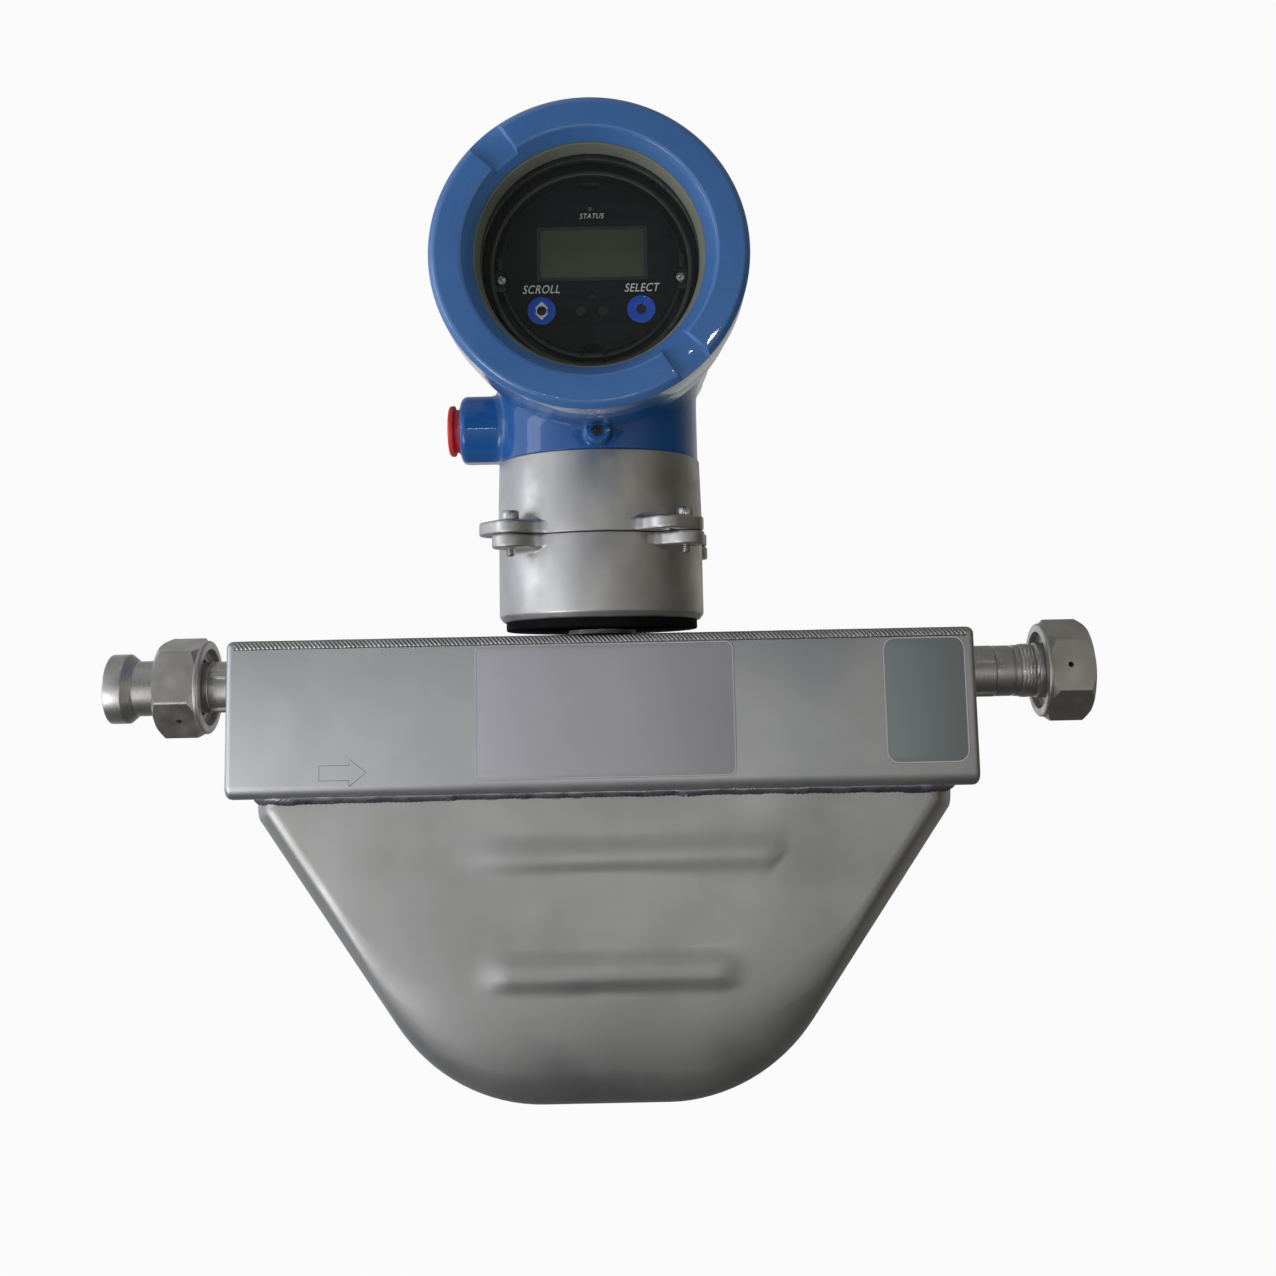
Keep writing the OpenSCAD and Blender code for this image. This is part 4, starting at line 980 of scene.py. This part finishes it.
def plug(name, node, y, z):
    me = lathe([(0, -64.9), (8.6, -64.9, 0.6), (9.0, -65.25, 0.3), (10.6, -65.25, 0.8), (11.2, -64.4, 0.5), (11.2, -62.9, 0.5), (9.5, -62.4, 0.3), (9.45, -50, 0.5), (7.6, -49, 0.3),
                (7.6, -61), (0, -61)], "x", 128, 4, at=(0, y, z))
    rib = join(*[lathe([(9.4, -61.4 + 1.4 * i, 0.1), (9.56, -61.1 + 1.4 * i, 0.1), (9.4, -60.8 + 1.4 * i, 0.1), (9.0, -61.1 + 1.4 * i)], "x", 96, 2, at=(0, y, z)) for i in range(4)])
    slot_ = raw("s", [(-66.5, -0.8, -6), (-66.5, 0.8, -6), (-66.5, 0.8, 6), (-66.5, -0.8, 6), (-63.6, -0.8, -6), (-63.6, 0.8, -6), (-63.6, 0.8, 6), (-63.6, -0.8, 6)],
                [(0, 1, 2, 3), (4, 7, 6, 5), (0, 4, 5, 1), (1, 5, 6, 2), (2, 6, 7, 3), (3, 7, 4, 0)])
    slot_.transform(Matrix.Translation((0, y, z)))
    me = boolean(me, [clean(slot_)])
    emit(name, join(me, rib), RED, "head", node, sharp=38)


enclosure()
plug("conduit_plug_front_cap", "conduit_plug_front", *HUBS[0])
plug("conduit_plug_rear_cap", "conduit_plug_rear", *HUBS[1])


# ------------------------------------------------------------------ display cover
def cover():
    me = lathe([(44.2, -92.1, 0.5), (48.6, -97.6, 1.2), (49.6, -98, 0.5), (59.2, -98, 2.4), (61.4, -95.6, 1.6), (61.4, -76.9, 0.9), (52.4, -76.2, 0.2), (52.4, -74.0, 0.1),
                (49.9, -74.0, 0.1), (49.9, -70.8, 0.1)] + [q for i in range(3) for q in ((52.5, -70.7 + 1.5 * i), (51.8, -70.0 + 1.5 * i))] +
               [(52.3, -66.2, 0.3), (48.2, -66.0, 0.3), (48.2, -91.4)], "y", 256, 6, at=(0, 0, DZ))
    # two tool slots, sunk across the face ring
    cuts = []
    for a in (131.0, 310.7):
        vv = []
        for r in (42.0, 66.0):
            w = r * 0.1152
            vv += [(-w, -95.7, r), (w, -95.7, r), (w + 0.75, -98.0, r), (w + 1.2, -99.5, r), (-w - 1.2, -99.5, r), (-w - 0.75, -98.0, r)]
        c = raw("slot", vv, [(0, 1, 2, 3, 4, 5), (11, 10, 9, 8, 7, 6)] + [(i, i + 6, (i + 1) % 6 + 6, (i + 1) % 6) for i in range(6)])
        ca, sa = math.cos(rad(a)), math.sin(rad(a))
        c.transform(Matrix(((sa, 0, ca, 0), (0, 1, 0, 0), (-ca, 0, sa, DZ), (0, 0, 0, 1))))
        cuts.append(clean(c))
    me = boolean(me, cuts)
    me = bevel(me, 0.45, 30, 2)
    emit("display_cover_ring", me, BLUE, "cover", "display_cover", sharp=30)
    g = lathe([(44.15, -91.6, 0.3), (48, -91.4), (48, -84.7), (42.4, -84.7, 0.4)], "y", 192, 4, at=(0, 0, DZ))
    emit("glass_gasket_ring", g, GASKET, "cover", "glass_gasket", sharp=40)
    g = lathe([(0, -84.5), (47.9, -84.5, 0.4), (47.9, -78.5, 0.4), (0, -78.5)], "y", 160, 3, at=(0, 0, DZ))
    o = emit("window_glass_disc", g, GLASS, "cover", "cover_glass", sharp=30)
    g = lathe([(42.5, -78.4, 0.3), (48.1, -78.4, 0.2), (48.1, -74.4, 0.3), (43.3, -74.4, 0.6), (42.5, -75.6, 0.3)], "y", 160, 3, at=(0, 0, DZ))
    emit("glass_retaining_ring", g, INNER, "cover", "glass_retainer", sharp=40)
    g = lathe([(51.22 + 0.92 * math.cos(rad(18 * i)), -72.4 + 0.92 * math.sin(rad(18 * i))) for i in range(20)], "y", 160, 1, at=(0, 0, DZ))
    emit("cover_seal", g, RUBBER, "cover_carrier", "cover_o_ring", sharp=60)


cover()


# ------------------------------------------------------------------ display module
DR = 34.6


def text(name, s, x, z, size, y, mat, squeeze=0.86, weight=0.004):
    cu = bpy.data.curves.new(name, "FONT")
    cu.body, cu.size, cu.shear = s, size, 0.26
    cu.align_x, cu.align_y = "CENTER", "CENTER"
    cu.offset, cu.extrude, cu.resolution_u = weight * size, 0.05, 4
    cu.space_character = 1.08
    o = bpy.data.objects.new(name, cu)
    SC.collection.objects.link(o)
    me = evaluated(o)
    me.transform(Matrix.Diagonal((squeeze, 1, 1, 1)))
    me.transform(Matrix(((1, 0, 0, x), (0, 0, -1, y), (0, 1, 0, z), (0, 0, 0, 1))))
    return emit(name, me, mat, "head", sharp=40)


def display():
    z0 = DZ
    lx, lz = 0.5, DZ + 5.6
    swz, swx = DZ - 17.6, 19.6
    # face plate outline: disc with a half-round notch top and bottom
    out = []
    nr, nc = 4.3, DR + 0.8
    w = math.degrees(math.asin(min(1, nr / DR))) * 0.995
    for base_a in (90, 270):
        cxn, cyn = 0, nc if base_a == 90 else -nc
        s = -1 if base_a == 90 else 1
        for i in range(13):
            t = math.pi * i / 12
            # notch arc, swept from the leading side to the trailing side
            out.append((nr * math.cos(t) * (1 if base_a == 90 else -1), cyn + s * nr * math.sin(t)))
        a0 = base_a + w
        for i in range(1, 60):
            a = rad(a0 + (180 - 2 * w) * i / 60)
            out.append((DR * math.cos(a), DR * math.sin(a)))
    holes = [rrect(44, 22.4, 0.8, lx, lz - z0), circle(5.75, 48, -swx, swz - z0), circle(5.75, 48, swx, swz - z0),
             circle(2.1, 28, -4.4, swz - z0), circle(2.1, 28, 4.4, swz - z0), circle(1.35, 24, 0, swz - z0 + 5.9), circle(1.15, 24, 0, 23.8)]
    F = Matrix(((1, 0, 0, 0), (0, 0, -1, 0), (0, 1, 0, z0), (0, 0, 0, 1)))
    notch = [moved(plate([circle(3.0, 40, s * 35.3, -4.6)], 72.2, 80), F) for s in (-1, 1)]
    faceplate = boolean(moved(plate([out] + holes, 73.2, 75.0, 0.35, 2), F), notch)
    back = boolean(moved(plate([out, rrect(44, 22.4, 0.8, lx, lz - z0)], 57.8, 73.3, 0.0), F), notch)
    floor_ = moved(plate([rrect(46, 24.4, 0.8, lx, lz - z0)], 70.0, 73.25), F)
    ears = []
    for s in (-1, 1):
        ears.append(lathe([(1.7, -72.2, 0.3), (4.4, -72.2, 0.5), (4.4, -57.8), (1.7, -57.8)], "y", 48, 3, at=(s * 35.3, 0, z0 - 4.6)))
        ears.append(moved(plate([rrect(5.0, 8.5, 1.0, s * 33.2, -4.6)], 57.8, 71.8, 0.4), F))
    # little clip hooks above the ears and a step round the rim
    for s in (-1, 1):
        ears.append(moved(plate([rounded([(s * 32.2, 0.4, 0.3), (s * 36.6, -0.6, 0.3), (s * 37.2, 4.6, 0.5), (s * 33.4, 5.8, 0.5)], 3)], 60, 73.6, 0.3), F))
    step = lathe([(DR - 0.2, -71.5), (DR + 1.5, -71.5, 0.3), (DR + 1.5, -66, 0.3), (DR - 0.2, -66)], "y", 192, 3, at=(0, 0, z0))
    emit("display_face_plate", faceplate, FACE, "head", "display_module", sharp=40)
    emit("display_module_body", join(back, floor_, *ears, step), BLACK, "head", sharp=40)
    # LCD glass with a thin dark mask
    me = moved(plate([rrect(41.2, 19.6, 0.3, lx, lz - z0)], 73.3, 73.95, 0.1, 1), F)
    emit("lcd_window", me, LCD, "head", "lcd_panel", sharp=40)
    mask = moved(plate([rrect(43.8, 22.2, 0.7, lx, lz - z0), rrect(41.0, 19.4, 0.3, lx, lz - z0)], 73.6, 74.15), F)
    emit("lcd_mask", mask, BLACK, "head", sharp=40)
    for nm, node, s in (("scroll_touch_ring", "scroll_switch", -1), ("select_touch_ring", "select_switch", 1)):
        me = lathe([(1.95, -75.1, 0.1), (5.6, -75.1, 0.2), (5.6, -74.2), (1.95, -74.2)], "y", 96, 3, at=(s * swx, 0, swz))
        emit(nm, me, RINGBLUE, "head", node, sharp=40)
        me = lathe([(0, -73.4), (2.2, -73.4), (2.2, -73.0), (0, -73.0)], "y", 48, 2, at=(s * swx, 0, swz))
        emit(nm + "_well", me, BLACK, "head", sharp=40)
    # white up and down chevrons round the scroll switch's hole
    tri = []
    for s in (1, -1):
        o = [(-2.75, 0.95), (0, 3.75), (2.75, 0.95)] + [(2.15 * math.cos(rad(a)), 2.15 * math.sin(rad(a))) for a in range(26, 155, 8)]
        me = moved(plate([[(x - swx, s * z + swz - z0) for x, z in o]], 75.08, 75.16), F)
        tri.append(me)
    tri.append(lathe([(1.9, -75.17), (2.2, -75.17), (2.2, -75.05), (1.9, -75.05)], "y", 48, 2, at=(-swx, 0, swz)))
    emit("scroll_chevrons", join(*tri), PRINT, "head", sharp=40)
    text("word_status", "STATUS", 0.5, DZ + 20.5, 3.0, -75.03, PRINT, 0.86, -0.004)
    text("word_scroll", "SCROLL", -swx - 0.2, DZ - 9.1, 4.75, -75.03, PRINT, 0.82)
    text("word_select", "SELECT", swx + 0.1, DZ - 9.1, 4.75, -75.03, PRINT, 0.82)
    g = lathe([(0, -74.6), (1.0, -74.5, 0.3), (1.0, -72.8), (0, -72.8)], "y", 32, 3, at=(0, 0, DZ + 23.8))
    emit("status_lens", g, LENS, "head", "status_light", sharp=40)
    # screws: pan heads with a cross recess
    sc = []
    for s in (-1, 1):
        hd = lathe([(0, -74.2), (1.6, -74.1, 0.5), (2.7, -72.9, 0.4), (2.7, -72.2, 0.1), (1.5, -72.2), (1.5, -58, 0.3), (0, -58)], "y", 48, 4)
        cr = join(plate([rrect(0.6, 3.0, 0.05)], 73.3, 76), plate([rrect(3.0, 0.6, 0.05)], 73.31, 76.01))
        for bar in (plate([rrect(0.6, 3.0, 0.05)], 73.3, 76), plate([rrect(3.0, 0.6, 0.05)], 73.31, 76.01)):
            bar.transform(Matrix(((1, 0, 0, 0), (0, 0, -1, 0), (0, 1, 0, 0), (0, 0, 0, 1))))
            hd = boolean(hd, [bar])
        hd.transform(Matrix.Rotation(rad(20 * s), 4, "Y"))
        hd.transform(Matrix.Translation((s * 35.3, 0, DZ - 4.6)))
        sc.append(hd)
    emit("display_screw_pair", join(*sc), SCREW, "head", "display_screws", sharp=34)
    # bezel: a dark well round the module with a stepped wall
    me = lathe([(20, -55.4), (49.3, -55.4, 0.3), (49.3, -57.8, 0.3), (44.5, -57.8, 0.3), (44.5, -60.5, 0.6), (40.6, -61.2, 0.6), (40.4, -72.6, 0.5), (38.4, -72.6, 0.5), (38.4, -57.6), (20, -57.6)],
               "y", 192, 4, at=(0, 0, DZ))
    emit("display_well", me, INNER, "head", "display_bezel", sharp=38)


display()

# ------------------------------------------------------------------ kept CAD pieces: their own materials
KEEP = {
    "cover_lock_screw": SCREWDARK, "core_screw": SCREW, "ring_screws": SCREW, "core_processor": BLACK, "feedthrough": BRASS,
    "inlet_manifold": TUBE, "outlet_manifold": TUBE, "flow_tube_front": TUBE, "flow_tube_rear": TUBE, "brace_bars": MACHINED,
    "drive_coil": COPPER, "drive_magnet": MACHINED, "inlet_pickoff_coil": COPPER, "inlet_pickoff_magnet": MACHINED,
    "outlet_pickoff_coil": COPPER, "outlet_pickoff_magnet": MACHINED, "temperature_sensor": CERAMIC, "sensor_wires": COPPER,
    "base_o_ring": RUBBER, "main_board": PCB, "power_board": PCB, "board_standoffs": BRASS, "terminal_block": BLACK,
    "earth_screw": BRASS, "core_cable": SHEATH,
}
for n, m in KEEP.items():
    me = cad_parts[n].data
    me.materials.clear()
    me.materials.append(m)


# ------------------------------------------------------------------ studio
def ramp(nt, src, stops):
    """Colour ramp; every stop is (position, grey or colour)."""
    cr = nt.nodes.new("ShaderNodeValToRGB")
    el = cr.color_ramp.elements
    while len(el) < len(stops):
        el.new(0.5)
    for e, (p, c) in zip(el, stops):
        e.position = p
        e.color = (*c, 1) if isinstance(c, tuple) else (c, c, c, 1)
    nt.links.new(src, cr.inputs[0])
    return cr.outputs[0]


def studio():
    # pale floor: bright to the camera, quiet in the metal's reflections
    m = bpy.data.materials.new("studio_floor")
    m.use_nodes = True
    nt = m.node_tree
    nt.nodes.clear()
    N, L = nt.nodes.new, nt.links.new
    out = N("ShaderNodeOutputMaterial")
    lp = N("ShaderNodeLightPath")
    em = N("ShaderNodeEmission")
    em.inputs[0].default_value = (1, 1, 1, 1)
    em.inputs[1].default_value = 0.935
    df = N("ShaderNodeBsdfDiffuse")
    df.inputs[0].default_value = (0.10, 0.10, 0.10, 1)
    ad = N("ShaderNodeAddShader")
    L(em.outputs[0], ad.inputs[0])
    L(df.outputs[0], ad.inputs[1])
    dk = N("ShaderNodeBsdfTransparent")
    mx = N("ShaderNodeMixShader")
    L(lp.outputs["Is Camera Ray"], mx.inputs[0])
    L(dk.outputs[0], mx.inputs[1])
    L(ad.outputs[0], mx.inputs[2])
    L(mx.outputs[0], out.inputs[0])
    me = bpy.data.meshes.new("floor")
    s = 3.2
    me.from_pydata([(-s, -s, 0), (s, -s, 0), (s, s, 0), (-s, s, 0)], [], [(0, 1, 2, 3)])
    me.materials.append(m)
    fl = bpy.data.objects.new("studio_floor", me)
    fl.location = (0, 0, -0.62)
    SC.collection.objects.link(fl)

    w = bpy.data.worlds.new("studio")
    SC.world = w
    w.use_nodes = True
    nt = w.node_tree
    nt.nodes.clear()
    N, L = nt.nodes.new, nt.links.new
    out = N("ShaderNodeOutputWorld")
    tc = N("ShaderNodeTexCoord")
    sx = N("ShaderNodeSeparateXYZ")
    L(tc.outputs["Generated"], sx.inputs[0])

    def unit(o):
        mr = N("ShaderNodeMapRange")
        mr.inputs["From Min"].default_value = -1
        L(o, mr.inputs[0])
        return mr.outputs[0]
    side = ramp(nt, unit(sx.outputs[0]), [(0.0, (0.84, 0.86, 0.95)), (0.14, (0.64, 0.655, 0.72)), (0.34, (0.84, 0.85, 0.89)), (0.50, (0.50, 0.505, 0.51)),
                                          (0.62, (0.43, 0.43, 0.42)), (0.75, (0.44, 0.435, 0.41)), (0.90, (0.27, 0.26, 0.23)), (1.0, (0.03, 0.028, 0.024))])
    rise = ramp(nt, unit(sx.outputs[2]), [(0.0, 0.08), (0.20, 0.26), (0.33, 0.58), (0.42, 0.88), (0.50, 1.0), (0.60, 0.95), (0.78, 0.48), (1.0, 0.36)])
    # the dim side of the room, behind the camera
    dp = N("ShaderNodeVectorMath")
    dp.operation = "DOT_PRODUCT"
    L(tc.outputs["Generated"], dp.inputs[0])
    dp.inputs[1].default_value = (-0.02, -0.965, 0.26)
    dm = N("ShaderNodeMapRange")
    dm.interpolation_type = "SMOOTHSTEP"
    L(dp.outputs["Value"], dm.inputs[0])
    dm.inputs["From Min"].default_value = 0.87
    dm.inputs["From Max"].default_value = 0.985
    dm.inputs["To Min"].default_value = 1.0
    dm.inputs["To Max"].default_value = 0.06
    md = N("ShaderNodeMath")
    md.operation = "MULTIPLY"
    L(rise, md.inputs[0])
    L(dm.outputs[0], md.inputs[1])
    rise = md.outputs[0]
    mu = N("ShaderNodeMix")
    mu.data_type, mu.blend_type = "RGBA", "MULTIPLY"
    mu.inputs[0].default_value = 1.0
    L(side, mu.inputs[6])
    L(rise, mu.inputs[7])
    bg = N("ShaderNodeBackground")
    L(mu.outputs[2], bg.inputs[0])
    bg.inputs[1].default_value = 1.0
    bg2 = N("ShaderNodeBackground")
    bg2.inputs[0].default_value = (1, 1, 1, 1)
    bg2.inputs[1].default_value = 0.96
    lp = N("ShaderNodeLightPath")
    mx = N("ShaderNodeMixShader")
    L(lp.outputs["Is Camera Ray"], mx.inputs[0])
    L(bg.outputs[0], mx.inputs[1])
    L(bg2.outputs[0], mx.inputs[2])
    L(mx.outputs[0], out.inputs[0])

    def area(name, loc, target, size, power, color=(1, 1, 1), sy=None):
        li = bpy.data.lights.new(name, "AREA")
        li.energy, li.color, li.size = power, color, size
        if sy:
            li.shape, li.size_y = "RECTANGLE", sy
        o = bpy.data.objects.new(name, li)
        o.location = loc
        o.rotation_euler = (Vector(target) - Vector(loc)).to_track_quat("-Z", "Y").to_euler()
        SC.collection.objects.link(o)
        return o
    area("key", (-1.45, -0.85, 0.70), (0, 0, 0.03), 1.1, 0.8, (0.97, 0.98, 1.0))
    area("window_left", (-1.40, -0.30, 0.15), (0, 0, 0.0), 0.5, 1.9, (0.95, 0.97, 1.0), 0.7)
    area("bounce_left", (-1.15, -0.90, -0.75), (-0.08, 0, -0.08), 0.9, 3.4, (0.98, 0.98, 1.0))
    area("near_left", (-0.55, -0.45, -0.30), (-0.12, -0.03, -0.09), 0.3, 0.7, (0.99, 0.99, 1.0))
    area("top", (-0.2, -0.35, 1.5), (0, 0, 0.1), 0.9, 0.4)
    area("glint_ring_top", (0.09, -1.24, -0.137), (0.014, -0.098, 0.217), 0.17, 0.50, sy=0.03)
    area("glint_ring_right", (0.17, -1.244, 0.36), (0.051, -0.098, 0.154), 0.025, 0.10)
    area("glint_hub", (-0.18, -1.2, 0.053), (-0.05, -0.016, 0.108), 0.10, 0.12, sy=0.008)

    cam = bpy.data.cameras.new("camera")
    cam.sensor_width, cam.sensor_fit = 36.0, "HORIZONTAL"
    cam.lens = 36.0 * 1450 / 1276
    cam.shift_x, cam.shift_y = 0.0, -148 / 1276
    cam.clip_start, cam.clip_end = 0.02, 60
    co = bpy.data.objects.new("camera", cam)
    p, r = rad(8.0), rad(1.2)
    fwd = Vector((0, math.cos(p), math.sin(p)))
    up0 = Vector((0, -math.sin(p), math.cos(p)))
    rt0 = Vector((1, 0, 0))
    rt = rt0 * math.cos(r) - up0 * math.sin(r)
    up = rt0 * math.sin(r) + up0 * math.cos(r)
    M = Matrix((rt, up, -fwd)).transposed().to_4x4()
    M.translation = Vector((0.01675, -0.6288, -0.0066))
    co.matrix_world = M
    SC.collection.objects.link(co)
    SC.camera = co


studio()

SC.view_settings.view_transform = "Standard"
